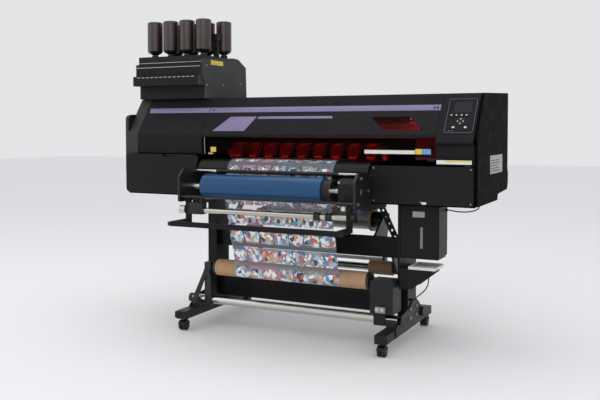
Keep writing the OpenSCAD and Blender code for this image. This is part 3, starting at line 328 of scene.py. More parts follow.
@dataclass(frozen=True)
class Finish:
    """A finish with its grain, mottling and fine scratches, over one coat or several."""

    name: str
    coat: Coat
    grain: float = 900.0
    grain_depth: float = 0.12
    mottling: float = 0.12
    patch: float = 9.0
    gloss_spread: float = 0.12
    brushed: Point | None = None
    zones: tuple[Zone, ...] = ()
    clear_coat: float = 0.0
    shine: float = 0.5

    def make(self) -> bpy.types.Material:
        """Builds the material.

        Returns:
            The material.
        """
        mixer = Mixer(self.name)
        colour: object = self.coat.colour
        metallic: object = self.coat.metallic
        roughness: object = self.coat.roughness
        for zone in self.zones:
            mask = zone.where.mask(mixer)
            colour = mixer.blend(mask, colour, zone.coat.colour)
            metallic = mixer.mix(mask, metallic, zone.coat.metallic)
            roughness = mixer.mix(mask, roughness, zone.coat.roughness)
        cloud = mixer.noise(self.patch, 4.0)
        shade = mixer.spread(cloud, 0.3, 0.7, 1.0 - self.mottling, 1.0 + self.mottling)
        node = mixer.tree.nodes.new("ShaderNodeVectorMath")
        node.operation = "SCALE"
        mixer.feed(node.inputs[0], colour)
        mixer.join(shade, node.inputs["Scale"])
        mixer.set("Base Color", node.outputs[0])
        mixer.set("Metallic", metallic)
        mixer.set("Specular IOR Level", self.shine)
        wiped = mixer.noise(self.patch * 3.1, 5.0, self.brushed)
        drift = mixer.spread(wiped, 0.3, 0.7, -self.gloss_spread / 2, self.gloss_spread / 2)
        mixer.set("Roughness", mixer.maths("ADD", roughness, drift, clamp=True))
        if self.clear_coat:
            mixer.set("Coat Weight", self.clear_coat)
            mixer.set("Coat Roughness", 0.12)
        grain = mixer.noise(self.grain, 2.0, self.brushed)
        mixer.emboss(grain, self.grain_depth, 0.0004)
        return mixer.material


@dataclass(frozen=True)
class TintedPane:
    """A clear coloured pane, such as the front window."""

    name: str
    colour: Colour
    roughness: float = 0.03
    alpha: float = 0.72

    def make(self) -> bpy.types.Material:
        """Builds the material.

        Returns:
            The material.
        """
        mixer = Mixer(self.name)
        haze = mixer.noise(14.0, 3.0)
        mixer.set("Base Color", self.colour)
        mixer.set("Roughness", mixer.spread(haze, 0.3, 0.7, self.roughness, self.roughness + 0.05))
        mixer.set("Transmission Weight", 1.0)
        mixer.set("IOR", 1.12)
        mixer.set("Alpha", self.alpha)
        mixer.set("Specular IOR Level", 0.35)
        mixer.emboss(mixer.noise(40.0, 2.0), 0.03, 0.0005)
        return mixer.material


@dataclass(frozen=True)
class KraftCard:
    """Wound brown card tube, with the fine seam of each spiral turn."""

    name: str
    colour: Colour
    y: float
    z: float
    pitch: float = 0.1
    zones: tuple[Zone, ...] = ()

    def make(self) -> bpy.types.Material:
        """Builds the material.

        Returns:
            The material.
        """
        mixer = Mixer(self.name)
        across = mixer.maths("SUBTRACT", mixer.place(Axis.Y), self.y)
        up = mixer.maths("SUBTRACT", mixer.place(Axis.Z), self.z)
        turn = mixer.maths("DIVIDE", mixer.maths("ARCTAN2", across, up), math.tau)
        along = mixer.maths("DIVIDE", mixer.place(Axis.X), self.pitch)
        seam = mixer.maths("PINGPONG", mixer.maths("ADD", along, turn), 0.5)
        line = mixer.spread(seam, 0.0, 0.018, 0.78, 1.0)
        fibre = mixer.spread(mixer.noise(160.0, 6.0, (0.5, 1.0, 1.0)), 0.3, 0.7, 0.86, 1.12)
        colour: object = self.colour
        roughness: object = 0.82
        metallic: object = 0.0
        shade = mixer.maths("MULTIPLY", line, fibre)
        for zone in self.zones:
            mask = zone.where.mask(mixer)
            colour = mixer.blend(mask, colour, zone.coat.colour)
            roughness = mixer.mix(mask, roughness, zone.coat.roughness)
            metallic = mixer.mix(mask, metallic, zone.coat.metallic)
            shade = mixer.mix(mask, shade, 1.0)
        node = mixer.tree.nodes.new("ShaderNodeVectorMath")
        node.operation = "SCALE"
        mixer.feed(node.inputs[0], colour)
        mixer.join(shade, node.inputs["Scale"])
        mixer.set("Base Color", node.outputs[0])
        mixer.set("Roughness", roughness)
        mixer.set("Metallic", metallic)
        mixer.emboss(shade, 0.25, 0.0006)
        return mixer.material


@dataclass(frozen=True)
class BottleBrown:
    """Dark brown glossy plastic, darker towards the bottom as painted shade, with lighter vertical
    streaks as painted highlights.
    """

    name: str

    def make(self) -> bpy.types.Material:
        """Builds the material.

        Returns:
            The material.
        """
        mixer = Mixer(self.name)
        low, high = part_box("ink_bottles")
        # Painted shade: the brown darkens towards the bottom of each bottle.
        height = mixer.spread(mixer.place(Axis.Z), low.z + 0.05, high.z, 0.0, 1.0)
        # Painted highlight: lighter vertical streaks blended into the brown; the same streaks also
        # vary the roughness.
        highlight_streak = mixer.noise(30.0, 4.0, (1.0, 1.0, 0.15))
        bottom_shaded_brown = mixer.blend(height, tone(30, 17, 16), tone(54, 38, 35))
        mixer.set("Base Color", mixer.blend(mixer.spread(highlight_streak, 0.35, 0.65, 0.0, 0.35), bottom_shaded_brown,
                                            tone(66, 50, 46)))
        mixer.set("Roughness", mixer.spread(highlight_streak, 0.3, 0.7, 0.26, 0.36))
        mixer.set("Coat Weight", 0.35)
        mixer.set("Coat Roughness", 0.2)
        mixer.set("Subsurface Weight", 0.05)
        mixer.emboss(mixer.noise(120.0, 2.0), 0.05, 0.0006)
        return mixer.material


@dataclass(frozen=True)
class WoundFilm:
    """Silvery film wound on a core, with brown flanges and black hubs at its ends."""

    name: str
    zones: tuple[Zone, ...]

    def make(self) -> bpy.types.Material:
        """Builds the material.

        Returns:
            The material.
        """
        mixer = Mixer(self.name)
        bands = mixer.noise(26.0, 4.0, (0.08, 1.0, 1.0))
        colour: object = mixer.blend(mixer.spread(bands, 0.3, 0.7, 0.0, 1.0), tone(132, 130, 128),
                                     tone(206, 205, 202))
        roughness: object = mixer.spread(bands, 0.3, 0.7, 0.18, 0.34)
        metallic: object = 0.35
        for zone in self.zones:
            mask = zone.where.mask(mixer)
            colour = mixer.blend(mask, colour, zone.coat.colour)
            roughness = mixer.mix(mask, roughness, zone.coat.roughness)
            metallic = mixer.mix(mask, metallic, zone.coat.metallic)
        mixer.set("Base Color", colour)
        mixer.set("Roughness", roughness)
        mixer.set("Metallic", metallic)
        mixer.emboss(mixer.noise(240.0, 2.0, (0.3, 1.0, 1.0)), 0.08, 0.0004)
        return mixer.material


@dataclass(frozen=True)
class PrintedFilm:
    """Clear film with rows of small made-up pictures, each a patch of bright shapes."""

    name: str
    columns: int = 7
    row: float = 0.108
    clear: float = 0.3

    def make(self) -> bpy.types.Material:
        """Builds the material. The film's UV is in metres along its length, 0 to 1 across.

        Returns:
            The material.
        """
        mixer = Mixer(self.name)
        across = mixer.maths("MULTIPLY", mixer.place(Axis.X, "UV"), float(self.columns))
        along = mixer.maths("DIVIDE", mixer.place(Axis.Y, "UV"), self.row)
        column = mixer.maths("FLOOR", across)
        fx = mixer.maths("SUBTRACT", mixer.maths("FRACT", across), 0.5)
        fy = mixer.maths("SUBTRACT", mixer.maths("FRACT", along), 0.5)
        seed = mixer.vector(column, 3.7, 1.3)
        dice = mixer.tree.nodes.new("ShaderNodeTexWhiteNoise")
        dice.noise_dimensions = "3D"
        mixer.join(seed, dice.inputs["Vector"])
        spot = mixer.vector(mixer.maths("ADD", across, mixer.maths("MULTIPLY", column, 7.3)), along,
                            0.5)
        wobble = mixer.spread(mixer.noise(2.4, 2.0, where=spot), 0.3, 0.7, -0.14, 0.14)
        radius = mixer.maths("SQRT", mixer.maths("ADD", mixer.maths("MULTIPLY", fx, fx),
                             mixer.maths("MULTIPLY", mixer.maths("MULTIPLY", fy, fy), 2.6)))
        body = mixer.maths("LESS_THAN", mixer.maths("ADD", radius, wobble), 0.49)
        rim = mixer.maths("LESS_THAN", mixer.maths("ADD", radius, wobble), 0.47)
        shards = mixer.cells(4.6, spot)
        patch = mixer.tree.nodes.new("ShaderNodeSeparateColor")
        mixer.join(shards.outputs["Color"], patch.inputs[0])
        ramp = mixer.tree.nodes.new("ShaderNodeValToRGB")
        ramp.color_ramp.interpolation = "CONSTANT"
        palette = (tone(242, 244, 246), tone(104, 144, 178), tone(228, 234, 238),
                   tone(204, 104, 82), tone(62, 70, 84), tone(166, 194, 210),
                   tone(240, 241, 242), tone(206, 162, 122))
        while len(ramp.color_ramp.elements) < len(palette):
            ramp.color_ramp.elements.new(0.5)
        for index, (stop, colour) in enumerate(zip(ramp.color_ramp.elements, palette)):
            stop.position = index / len(palette)
            stop.color = (*colour, 1.0)
        mixer.join(patch.outputs[0], ramp.inputs[0])
        art = mixer.blend(rim, tone(238, 240, 242), ramp.outputs[0])
        banner = mixer.maths("MULTIPLY", mixer.within(fy, -0.36, 0.42),
                             mixer.within(fx, -0.46, 0.46))
        banner_tone = mixer.tree.nodes.new("ShaderNodeValToRGB")
        banner_tone.color_ramp.interpolation = "CONSTANT"
        shades = (tone(96, 128, 162), tone(190, 110, 88), tone(134, 160, 174), tone(98, 112, 148),
                  tone(176, 122, 150), tone(152, 160, 154))
        while len(banner_tone.color_ramp.elements) < len(shades):
            banner_tone.color_ramp.elements.new(0.5)
        for index, (stop, colour) in enumerate(zip(banner_tone.color_ramp.elements, shades)):
            stop.position = index / len(shades)
            stop.color = (*colour, 1.0)
        mixer.join(dice.outputs["Value"], banner_tone.inputs[0])
        streaks = mixer.spread(mixer.noise(4.0, 3.0, where=spot), 0.40, 0.44, 0.0, 1.0)
        banner_shown = mixer.maths("MULTIPLY", banner, streaks)
        printed = mixer.maths("MAXIMUM", body, banner_shown)
        colour = mixer.blend(body, banner_tone.outputs[0], art)
        mixer.set("Base Color", mixer.blend(printed, tone(176, 178, 182), colour))
        mixer.set("Alpha", mixer.mix(printed, self.clear, 0.97))
        mixer.set("Roughness", mixer.mix(printed, 0.12, 0.34))
        mixer.emboss(mixer.noise(9.0, 2.0), 0.12, 0.002)
        return mixer.material


@dataclass(frozen=True)
class ScreenGlass:
    """The dim display behind its glass, with faint fine lines along it."""

    name: str

    def make(self) -> bpy.types.Material:
        """Builds the material.

        Returns:
            The material.
        """
        mixer = Mixer(self.name)
        lines = mixer.noise(420.0, 1.0, (0.06, 1.0, 1.0))
        shown = mixer.spread(lines, 0.4, 0.6, 0.0, 1.0)
        mixer.set("Base Color", mixer.blend(shown, tone(14, 17, 17),
                                            tone(30, 35, 34)))
        mixer.set("Roughness", mixer.spread(mixer.noise(60.0), 0.3, 0.7, 0.08, 0.16))
        mixer.set("Specular IOR Level", 0.2)
        mixer.emboss(lines, 0.03, 0.0002)
        return mixer.material


STEEL = Coat(tone(196, 194, 190), 1.0, 0.26)
SATIN_BLACK = Coat(tone(20, 20, 22), 0.0, 0.45)
MATT_BLACK = Coat(tone(20, 20, 22), 0.0, 0.6)
CARD = Coat(tone(176, 141, 108), 0.0, 0.85)


@dataclass(frozen=True)
class Wardrobe:
    """Every finish of the machine, and which CAD node wears which."""

    def finishes(self) -> dict[str, bpy.types.Material]:
        """Makes the shared finishes.

        Returns:
            Finish name to material.
        """
        made: dict[str, bpy.types.Material] = {}
        for finish in (
            Finish("cover_black", Coat(tone(27, 27, 29), 0.0, 0.52), 1400.0, 0.16, 0.1, 6.0,
                   shine=0.12),
            Finish("end_charcoal", Coat(tone(46, 46, 49), 0.0, 0.5), 1400.0, 0.18, 0.1, 6.0,
                   shine=0.3),
            # Painted shade: a darker, duller copy of the black cover finish, for the covers that
            # sit in shade.
            Finish("cover_black_shaded", Coat(tone(9, 9, 10), 0.0, 0.62), 1400.0, 0.12, 0.08, 6.0,
                   shine=0.02),
            Finish("hatch_black", Coat(tone(22, 22, 24), 0.0, 0.5), 1300.0, 0.16, 0.12, 5.0,
                   shine=0.18),
            Finish("powder_black", SATIN_BLACK, 520.0, 0.22, 0.14, 8.0, 0.14, shine=0.18),
            Finish("foot_grey", Coat(tone(30, 30, 32), 0.0, 0.45), 520.0, 0.25, 0.14, 8.0, 0.16,
                   shine=0.25),
            Finish("case_black", Coat(tone(24, 25, 26), 0.0, 0.5), 620.0, 0.2, 0.12, 7.0,
                   zones=(Zone(Slab(Axis.X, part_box("ink_case")[1].x - 0.0083, 9.0),
                               Coat(tone(62, 62, 63), 0.0, 0.5)),), shine=0.16),
            Finish("matt_plastic", MATT_BLACK, 1600.0, 0.2, 0.12, 10.0, shine=0.3),
            Finish("tread", Coat(tone(26, 26, 28), 0.0, 0.55), 700.0, 0.25, 0.2, 30.0, shine=0.3),
            Finish("fork_black", Coat(tone(22, 22, 24), 0.0, 0.38), 900.0, 0.15, 0.12, 20.0,
                   shine=0.3),
            Finish("zinc", Coat(tone(188, 190, 194), 1.0, 0.34), 300.0, 0.15, 0.12, 60.0, 0.2),
            Finish("anodised", Coat(tone(176, 178, 182), 1.0, 0.38), 600.0, 0.12, 0.08, 8.0, 0.1,
                   (0.05, 1.0, 1.0)),
            Finish("ground_steel", STEEL, 700.0, 0.1, 0.08, 8.0, 0.12, (1.0, 0.06, 0.06)),
            Finish("grit", Coat(tone(150, 152, 155), 1.0, 0.5), 2400.0, 0.6, 0.1, 40.0),
            Finish("platen_dark", Coat(tone(20, 20, 22), 0.1, 0.42), 420.0, 0.12, 0.1, 6.0, 0.12,
                   (1.0, 0.1, 1.0), shine=0.3),
            Finish("lever_red", Coat(tone(238, 40, 42), 0.0, 0.4), 500.0, 0.12, 0.08, 20.0, zones=(
                Zone(Bar(0.0945, 0.986, 0.0150), MATT_BLACK),)),
            Finish("belt", Coat(tone(24, 24, 25), 0.0, 0.8), 800.0, 0.4, 0.15, 30.0),
            Finish("carriage_grey", Coat(tone(52, 52, 56), 0.0, 0.45), 900.0, 0.16, 0.1, 12.0),
            Finish("key_light", Coat(tone(206, 206, 210), 0.0, 0.4), 900.0, 0.1, 0.05, 40.0),
            Finish("tank_black", Coat(tone(20, 20, 22), 0.0, 0.45), 900.0, 0.18, 0.1, 12.0,
                   shine=0.18),
            Finish("tray_white", Coat(tone(214, 218, 210), 0.0, 0.42), 700.0, 0.1, 0.05, 14.0),
            Finish("stripe_lilac", Coat(tone(124, 112, 150), 0.0, 0.42), 1500.0, 0.06, 0.05, 8.0),
            Finish("line_lilac", Coat(tone(120, 114, 150), 0.0, 0.42), 1500.0, 0.05, 0.04, 20.0),
            Finish("paper_white", Coat(tone(222, 221, 216), 0.0, 0.6), 1500.0, 0.05, 0.04, 30.0),
            Finish("paper_yellow", Coat(tone(222, 196, 70), 0.0, 0.55), 1500.0, 0.05, 0.05, 30.0),
            Finish("paper_blue", Coat(tone(96, 160, 206), 0.0, 0.5), 1500.0, 0.05, 0.05, 30.0),
            Finish("paper_grey", Coat(tone(164, 164, 166), 0.1, 0.5), 1500.0, 0.05, 0.06, 30.0),
            Finish("groove", Coat(tone(12, 12, 14), 0.0, 0.7), 900.0, 0.1, 0.05, 20.0),
            Finish("bracket_white", Coat(tone(230, 228, 222), 0.0, 0.4), 700.0, 0.1, 0.05, 30.0),
            Finish("cream", Coat(tone(196, 190, 160), 0.0, 0.5), 700.0, 0.1, 0.05, 30.0),
            Finish("cable_black", Coat(tone(30, 30, 31), 0.0, 0.5), 1200.0, 0.2, 0.08, 40.0),
            Finish("sight_clear", Coat(tone(120, 118, 112), 0.0, 0.2), 700.0, 0.05, 0.1, 30.0),
        ):
            made[finish.name] = finish.make()
        made.update(self.zoned())
        made["window_red"] = TintedPane("window_red", tone(240, 46, 44)).make()
        made["bottle"] = BottleBrown("bottle").make()
        made["printed_film"] = PrintedFilm("printed_film").make()
        made["screen"] = ScreenGlass("screen").make()
        log.info("finishes: %d", len(made))
        return made

    def zoned(self) -> dict[str, bpy.types.Material]:
        """Makes the finishes whose coat changes along a node.

        Returns:
            Finish name to material.
        """
        sleeve_low, sleeve_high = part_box("laminating_roller")
        blue = Coat(tone(20, 70, 112), 0.0, 0.3)
        blue_low, blue_high = sleeve_low.x + 0.132, sleeve_high.x - 0.191
        collar = Zone(Slab(Axis.X, blue_high, blue_high + 0.0448), MATT_BLACK)
        boss = Zone(Slab(Axis.X, blue_low - 0.0142, blue_low), MATT_BLACK)
        tension_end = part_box("tension_shaft")[1].x
        rail_low, rail_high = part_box("takeup_rail")
        rail_radius = 0.0227
        rail = Vector((0, rail_low.y + 0.036, rail_low.z + 0.0375))
        core_low, core_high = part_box("takeup_core")
        roll_low, roll_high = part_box("supply_roll")
        film_low, film_high = roll_low.x + 0.096, roll_high.x - 0.096
        spare_low, spare_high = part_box("rear_core")
        frame_low, frame_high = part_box("laminator_frame")
        drive_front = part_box("takeup_drive")[0].y
        back_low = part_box("rear_frame")[0]
        guide = Vector((0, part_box("pressure_roller")[0].y + 0.0176, frame_high.z - 0.014))
        chrome = Coat(tone(206, 204, 198), 1.0, 0.16)
        return {finish.name: finish.make() for finish in (
            Finish("roller_blue", blue, 900.0, 0.02, 0.05, 5.0, 0.05, (1.0, 0.2, 0.2),
                   (Zone(Slab(Axis.X, -9.0, blue_low - 0.014), STEEL), boss, collar,
                    Zone(Slab(Axis.X, blue_high + 0.0448, 9.0), STEEL)), 0.12, 0.3),
            Finish("roller_black", Coat(tone(30, 30, 31), 0.0, 0.4), 900.0, 0.06, 0.06, 6.0,
                   zones=(Zone(Bar(*axis_of("pressure_roller"), 0.0085), STEEL),)),
            Finish("tension_steel", Coat(tone(206, 200, 188), 1.0, 0.22), 700.0, 0.08, 0.05, 6.0,
                   0.1, (1.0, 0.06, 0.06), tuple(
                       Zone(Slab(Axis.X, tension_end - start, tension_end - stop), SATIN_BLACK)
                       for start, stop in ((0.02, 0.0), (0.213, 0.1815), (0.151, 0.1195)))),
            Finish("rail_bright", SATIN_BLACK, 500.0, 0.08, 0.06, 6.0, 0.1, (0.06, 1.0, 1.0),
                   (Zone(Bar(rail.y, rail.z, rail_radius, rail_low.x + 0.0238, rail_high.x),
                         chrome),)),
            Finish("spare_steel", STEEL, 500.0, 0.08, 0.06, 6.0, 0.12, (0.06, 1.0, 1.0),
                   (Zone(Slab(Axis.X, spare_low.x + 0.038, spare_low.x + 0.172), CARD),
                    Zone(Slab(Axis.X, spare_high.x - 0.172, spare_high.x - 0.038), CARD),
                    Zone(Slab(Axis.X, spare_low.x, spare_low.x + 0.038), SATIN_BLACK),
                    Zone(Slab(Axis.X, spare_high.x - 0.038, spare_high.x), SATIN_BLACK))),
            Finish("lam_frame", SATIN_BLACK, 520.0, 0.2, 0.12, 10.0,
                   zones=(Zone(Bar(guide.y, guide.z, 0.0084, frame_low.x + 0.0121, frame_high.x
                                   - 0.0121), chrome),)),
            Finish("drive_black", Coat(tone(25, 25, 27), 0.0, 0.46), 900.0, 0.18, 0.12, 12.0,
                   shine=0.3,
                   zones=(Zone(Slab(Axis.Y, drive_front - 0.001, drive_front + 0.0119),
                               Coat(tone(142, 144, 148), 0.8, 0.42)),)),
            Finish("rear_black", SATIN_BLACK, 520.0, 0.2, 0.12, 10.0,
                   zones=(Zone(Bar(back_low.y + 0.1689, back_low.z + 0.061, 0.0145, -0.379,
                                   0.3899), Coat(tone(226, 226, 226), 0.0, 0.4)),)),
        )} | {
            "card_core": KraftCard("card_core", CARD.colour, *axis_of("takeup_core"), 0.11, (
                Zone(Slab(Axis.X, core_low.x, core_low.x + 0.0742), SATIN_BLACK),
                Zone(Slab(Axis.X, core_high.x - 0.0582, core_high.x), SATIN_BLACK),
            )).make(),
            "wound_film": WoundFilm("wound_film", (
                Zone(Slab(Axis.X, roll_low.x, film_low - 0.018), SATIN_BLACK),
                Zone(Slab(Axis.X, film_low - 0.018, film_low), CARD),
                Zone(Slab(Axis.X, film_high, film_high + 0.018), CARD),
                Zone(Slab(Axis.X, film_high + 0.018, roll_high.x), SATIN_BLACK),
            )).make(),
        }

    def dress(self, finishes: dict[str, bpy.types.Material]) -> None:
        """Puts a finish on every CAD node.

        Args:
            finishes: Finish name to material.
        """
        worn = {
            "powder_black": ("leg_posts", "cross_members", "guard_bar", "side_brackets"),
            "lever_red": ("pinch_bar",),
            "foot_grey": ("foot_beams",),
            "zinc": ("caster_stems",),
            "fork_black": ("caster_fork_front_left", "caster_fork_front_right",
                           "caster_fork_rear_left", "caster_fork_rear_right"),
            "tread": ("caster_wheels_front_left", "caster_wheels_front_right",
                      "caster_wheels_rear_left", "caster_wheels_rear_right"),
            "anodised": ("main_beam", "carriage_rail", "drive_pulley", "idler_pulley"),
            # Painted shade: the right end, rear and underside covers wear the darkened copy of the
            # black cover finish.
            "cover_black_shaded": ("bottom_pan", "rear_cover", "right_end_cover"),
            "cover_black": ("left_front_cover", "right_front_cover", "front_cover"),
            "end_charcoal": ("left_end_cover",),
            "hatch_black": ("maintenance_cover", "right_lower_cover"),
            "window_red": ("front_window",),
            "platen_dark": ("platen",),
            "grit": ("grit_roller",),
            "carriage_grey": ("carriage",),
            "belt": ("carriage_belt",),
            "screen": ("display_screen",),
            "matt_plastic": ("function_key_1", "function_key_2", "function_key_3",
                             "function_key_4", "arrow_pad", "enter_key", "power_key",
                             "laminator_drive", "ink_deck"),
            "case_black": ("ink_case",),
            "bottle": ("ink_bottles",),
            "lam_frame": ("laminator_frame",),
            "roller_blue": ("laminating_roller",),
            "roller_black": ("pressure_roller",),
            "tension_steel": ("tension_shaft",),
            "rail_bright": ("takeup_rail",),
            "drive_black": ("takeup_drive",),
            "card_core": ("takeup_core",),
            "wound_film": ("supply_roll",),
            "spare_steel": ("rear_core",),
            "rear_black": ("rear_frame",),
            "tank_black": ("waste_tank",),
            "tray_white": ("drip_tray",),
            "printed_film": ("film_web",),
            "cable_black": ("cable_tank", "cable_foot"),
        }
        for finish, nodes in worn.items():
            for node in nodes:
                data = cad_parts[node].data
                data.materials.clear()
                data.materials.append(finishes[finish])
        log.info("CAD nodes dressed: %d", sum(len(nodes) for nodes in worn.values()))


# --------------------------------------------------------------------------------------
# Shaping
# --------------------------------------------------------------------------------------


class Bench:
    """Shapes pieces with Blender's own modelling operators."""

    SHARP = math.radians(34)
    SMOOTH = math.radians(38)

    def __init__(self, finishes: dict[str, bpy.types.Material]) -> None:
        """Keeps the finishes at hand.

        Args:
            finishes: Finish name to material.
        """
        self.finishes = finishes
        self.count = 0

    @staticmethod
    def clear() -> None:
        """Leaves edit mode and deselects everything."""
        if bpy.context.object is not None and bpy.context.object.mode != "OBJECT":
            bpy.ops.object.mode_set(mode="OBJECT")
        bpy.ops.object.select_all(action="DESELECT")

    @staticmethod
    def settle(name: str) -> bpy.types.Object:
        """Names the active object and puts its place and turn into its mesh."""
        made = bpy.context.object
        bpy.ops.object.transform_apply(location=True, rotation=True, scale=True)
        made.name = name
        made.data.name = name
        return made

    @staticmethod
    def soften(piece: bpy.types.Object, width: float, segments: int = 2) -> bpy.types.Object:
        """Rounds a piece's sharp edges and shades it smooth.

        Args:
            piece: The piece.
            width: The bevel's width, in metres.
            segments: The bevel's steps.

        Returns:
            The piece.
        """
        bpy.context.view_layer.objects.active = piece
        piece.select_set(True)
        if width > 0:
            bevel = piece.modifiers.new("edge", "BEVEL")
            bevel.width = width
            bevel.segments = segments
            bevel.limit_method = "ANGLE"
            bevel.angle_limit = Bench.SHARP
            bpy.ops.object.modifier_apply(modifier=bevel.name)
        bpy.ops.object.shade_smooth_by_angle(angle=Bench.SMOOTH)
        return piece

    def finish(
        self, piece: bpy.types.Object, finish: str, body: str = "machine"
    ) -> bpy.types.Object:
        """Dresses a piece and fixes it to a CAD body.

        Args:
            piece: The piece.
            finish: The finish's name.
            body: The CAD body it moves with.

        Returns:
            The piece.
        """
        piece.data.materials.clear()
        piece.data.materials.append(self.finishes[finish])
        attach(piece, body)
        self.count += 1
        return piece

    def block(self, name: str, low: Point, high: Point, bevel: float = 0.001) -> bpy.types.Object:
        """Shapes a box with rounded edges between two corners."""
        self.clear()
        low_corner, high_corner = Vector(low), Vector(high)
        bpy.ops.mesh.primitive_cube_add(size=1.0, location=(low_corner + high_corner) / 2)
        bpy.context.object.scale = high_corner - low_corner
        return self.soften(self.settle(name), bevel)

    def rod(
        self, name: str, start: Point, end: Point, radius: float, bevel: float = 0.0008,
        sides: int = 32
    ) -> bpy.types.Object:
        """Shapes a round bar between two points, with its end edges eased."""
        self.clear()
        first, last = Vector(start), Vector(end)
        line = last - first
        bpy.ops.mesh.primitive_cylinder_add(
            vertices=sides, radius=radius, depth=line.length, location=(first + last) / 2,
            rotation=line.to_track_quat("Z", "Y").to_euler())
        return self.soften(self.settle(name), bevel)

    def turned(
        self, name: str, start: Point, way: Point, rings: list[Flat], sides: int = 36
    ) -> bpy.types.Object:
        """Turns a profile about a line, by extruding and resizing a disc ring by ring.

        Args:
            name: The piece's name.
            start: The line's first point.
            way: The line's direction.
            rings: Distance along the line and radius, ring by ring.
            sides: The number of sides round it.

        Returns:
            The piece.
        """
        self.clear()
        bpy.ops.mesh.primitive_circle_add(vertices=sides, radius=rings[0][1], fill_type="NGON",
                                          location=(0, 0, 0))
        bpy.ops.object.mode_set(mode="EDIT")
        bpy.ops.mesh.select_all(action="SELECT")
        for (before, old), (after, new) in zip(rings, rings[1:]):
            bpy.ops.mesh.extrude_region_move(
                TRANSFORM_OT_translate={"value": (0, 0, after - before)})
            if abs(new - old) > 1e-7:
                bpy.ops.transform.resize(value=(new / old, new / old, 1.0),
                                         center_override=(0, 0, after - rings[0][0]))
        bpy.ops.mesh.select_all(action="SELECT")
        bpy.ops.mesh.normals_make_consistent(inside=False)
        bpy.ops.object.mode_set(mode="OBJECT")
        made = bpy.context.object
        direction = Vector(way).normalized()
        made.rotation_euler = direction.to_track_quat("Z", "Y").to_euler()
        made.location = Vector(start) + direction * rings[0][0]
        made = self.settle(name)
        return self.soften(made, 0.0)

    def plate(
        self, name: str, outline: list[Flat], thickness: float, place: Matrix, bevel: float = 0.0004
    ) -> bpy.types.Object:
        """Shapes a flat plate from its outline.

        Args:
            name: The piece's name.
            outline: The corners in the plate's own plane, in order round it.
            thickness: The thickness, along the plane's normal.
            place: Where the plane lies.
            bevel: The edge's rounding.

        Returns:
            The piece.
        """
        self.clear()
        bpy.ops.mesh.primitive_circle_add(vertices=len(outline), radius=1.0, fill_type="NGON")
        made = bpy.context.object
        for vertex, (across, up) in zip(made.data.vertices, outline):
            vertex.co = (across, up, 0.0)
        bpy.ops.object.mode_set(mode="EDIT")
        bpy.ops.mesh.select_all(action="SELECT")
        bpy.ops.mesh.extrude_region_move(TRANSFORM_OT_translate={"value": (0, 0, thickness)})
        bpy.ops.mesh.select_all(action="SELECT")
        bpy.ops.mesh.normals_make_consistent(inside=False)
        bpy.ops.object.mode_set(mode="OBJECT")
        made.matrix_world = place
        return self.soften(self.settle(name), bevel)

    def ribbon(self, name: str, path: list[Flat], low: float, high: float) -> bpy.types.Object:
        """Runs a flat band along a path by extruding its leading edge, step by step.

        Args:
            name: The piece's name.
            path: Y and Z of each step.
            low: The band's lower X.
            high: The band's upper X.

        Returns:
            The band, with a UV of 0 to 1 across and metres along.
        """
        self.clear()
        bpy.ops.mesh.primitive_plane_add(size=1.0, location=(0, 0, 0))
        made = bpy.context.object
        corners = ((low, *path[0]), (high, *path[0]), (low, *path[1]), (high, *path[1]))
        for vertex, corner in zip(made.data.vertices, corners):
            vertex.co = corner
        bpy.ops.object.mode_set(mode="EDIT")
        bpy.ops.mesh.select_all(action="DESELECT")
        bpy.ops.mesh.select_mode(type="EDGE")
        bpy.ops.object.mode_set(mode="OBJECT")
        for edge in made.data.edges:
            edge.select = set(edge.vertices) == {2, 3}
        bpy.ops.object.mode_set(mode="EDIT")
        for before, after in zip(path[1:], path[2:]):
            bpy.ops.mesh.extrude_region_move(TRANSFORM_OT_translate={
                "value": (0, after[0] - before[0], after[1] - before[1])})
        bpy.ops.mesh.select_mode(type="VERT")
        bpy.ops.object.mode_set(mode="OBJECT")
        lengths = [0.0]
        for before, after in zip(path, path[1:]):
            lengths.append(lengths[-1] + math.dist(before, after))
        uv = made.data.uv_layers.active or made.data.uv_layers.new(name="UVMap")
        for loop in made.data.loops:
            point = made.data.vertices[loop.vertex_index].co
            step = min(range(len(path)), key=lambda i: math.dist(path[i], (point.y, point.z)))
            uv.data[loop.index].uv = ((point.x - low) / (high - low), lengths[step])
        return self.soften(self.settle(name), 0.0)

    def copy(self, piece: bpy.types.Object, name: str, step: Point) -> bpy.types.Object:
        """Copies a piece with a mesh of its own and moves the copy."""
        self.clear()
        piece.select_set(True)
        bpy.context.view_layer.objects.active = piece
        bpy.ops.object.duplicate(linked=False)
        bpy.ops.transform.translate(value=step)
        return self.settle(name)

    def row(self, piece: bpy.types.Object, steps: list[Point]) -> bpy.types.Object:
        """Copies a piece to several steps from its place and joins them all into one piece."""
        name = piece.name
        parts = [piece] + [self.copy(piece, f"{name}_copy", step) for step in steps]
        return self.joined(name, parts)

    def joined(self, name: str, parts: list[bpy.types.Object]) -> bpy.types.Object:
        """Joins several pieces into one."""
        self.clear()
        for part in parts:
            part.select_set(True)
        bpy.context.view_layer.objects.active = parts[0]
        bpy.ops.object.join()
        parts[0].name = name
        return parts[0]

    def screw(self, name: str, place: Point, way: Point, radius: float = 0.004) -> bpy.types.Object:
        """Shapes a pan-head screw with a recessed drive, its head outwards along way."""
        return self.turned(name, place, way, [
            (-0.0005, radius), (radius * 0.35, radius), (radius * 0.62, radius * 0.74),
            (radius * 0.66, radius * 0.42), (radius * 0.3, radius * 0.36)], 16)


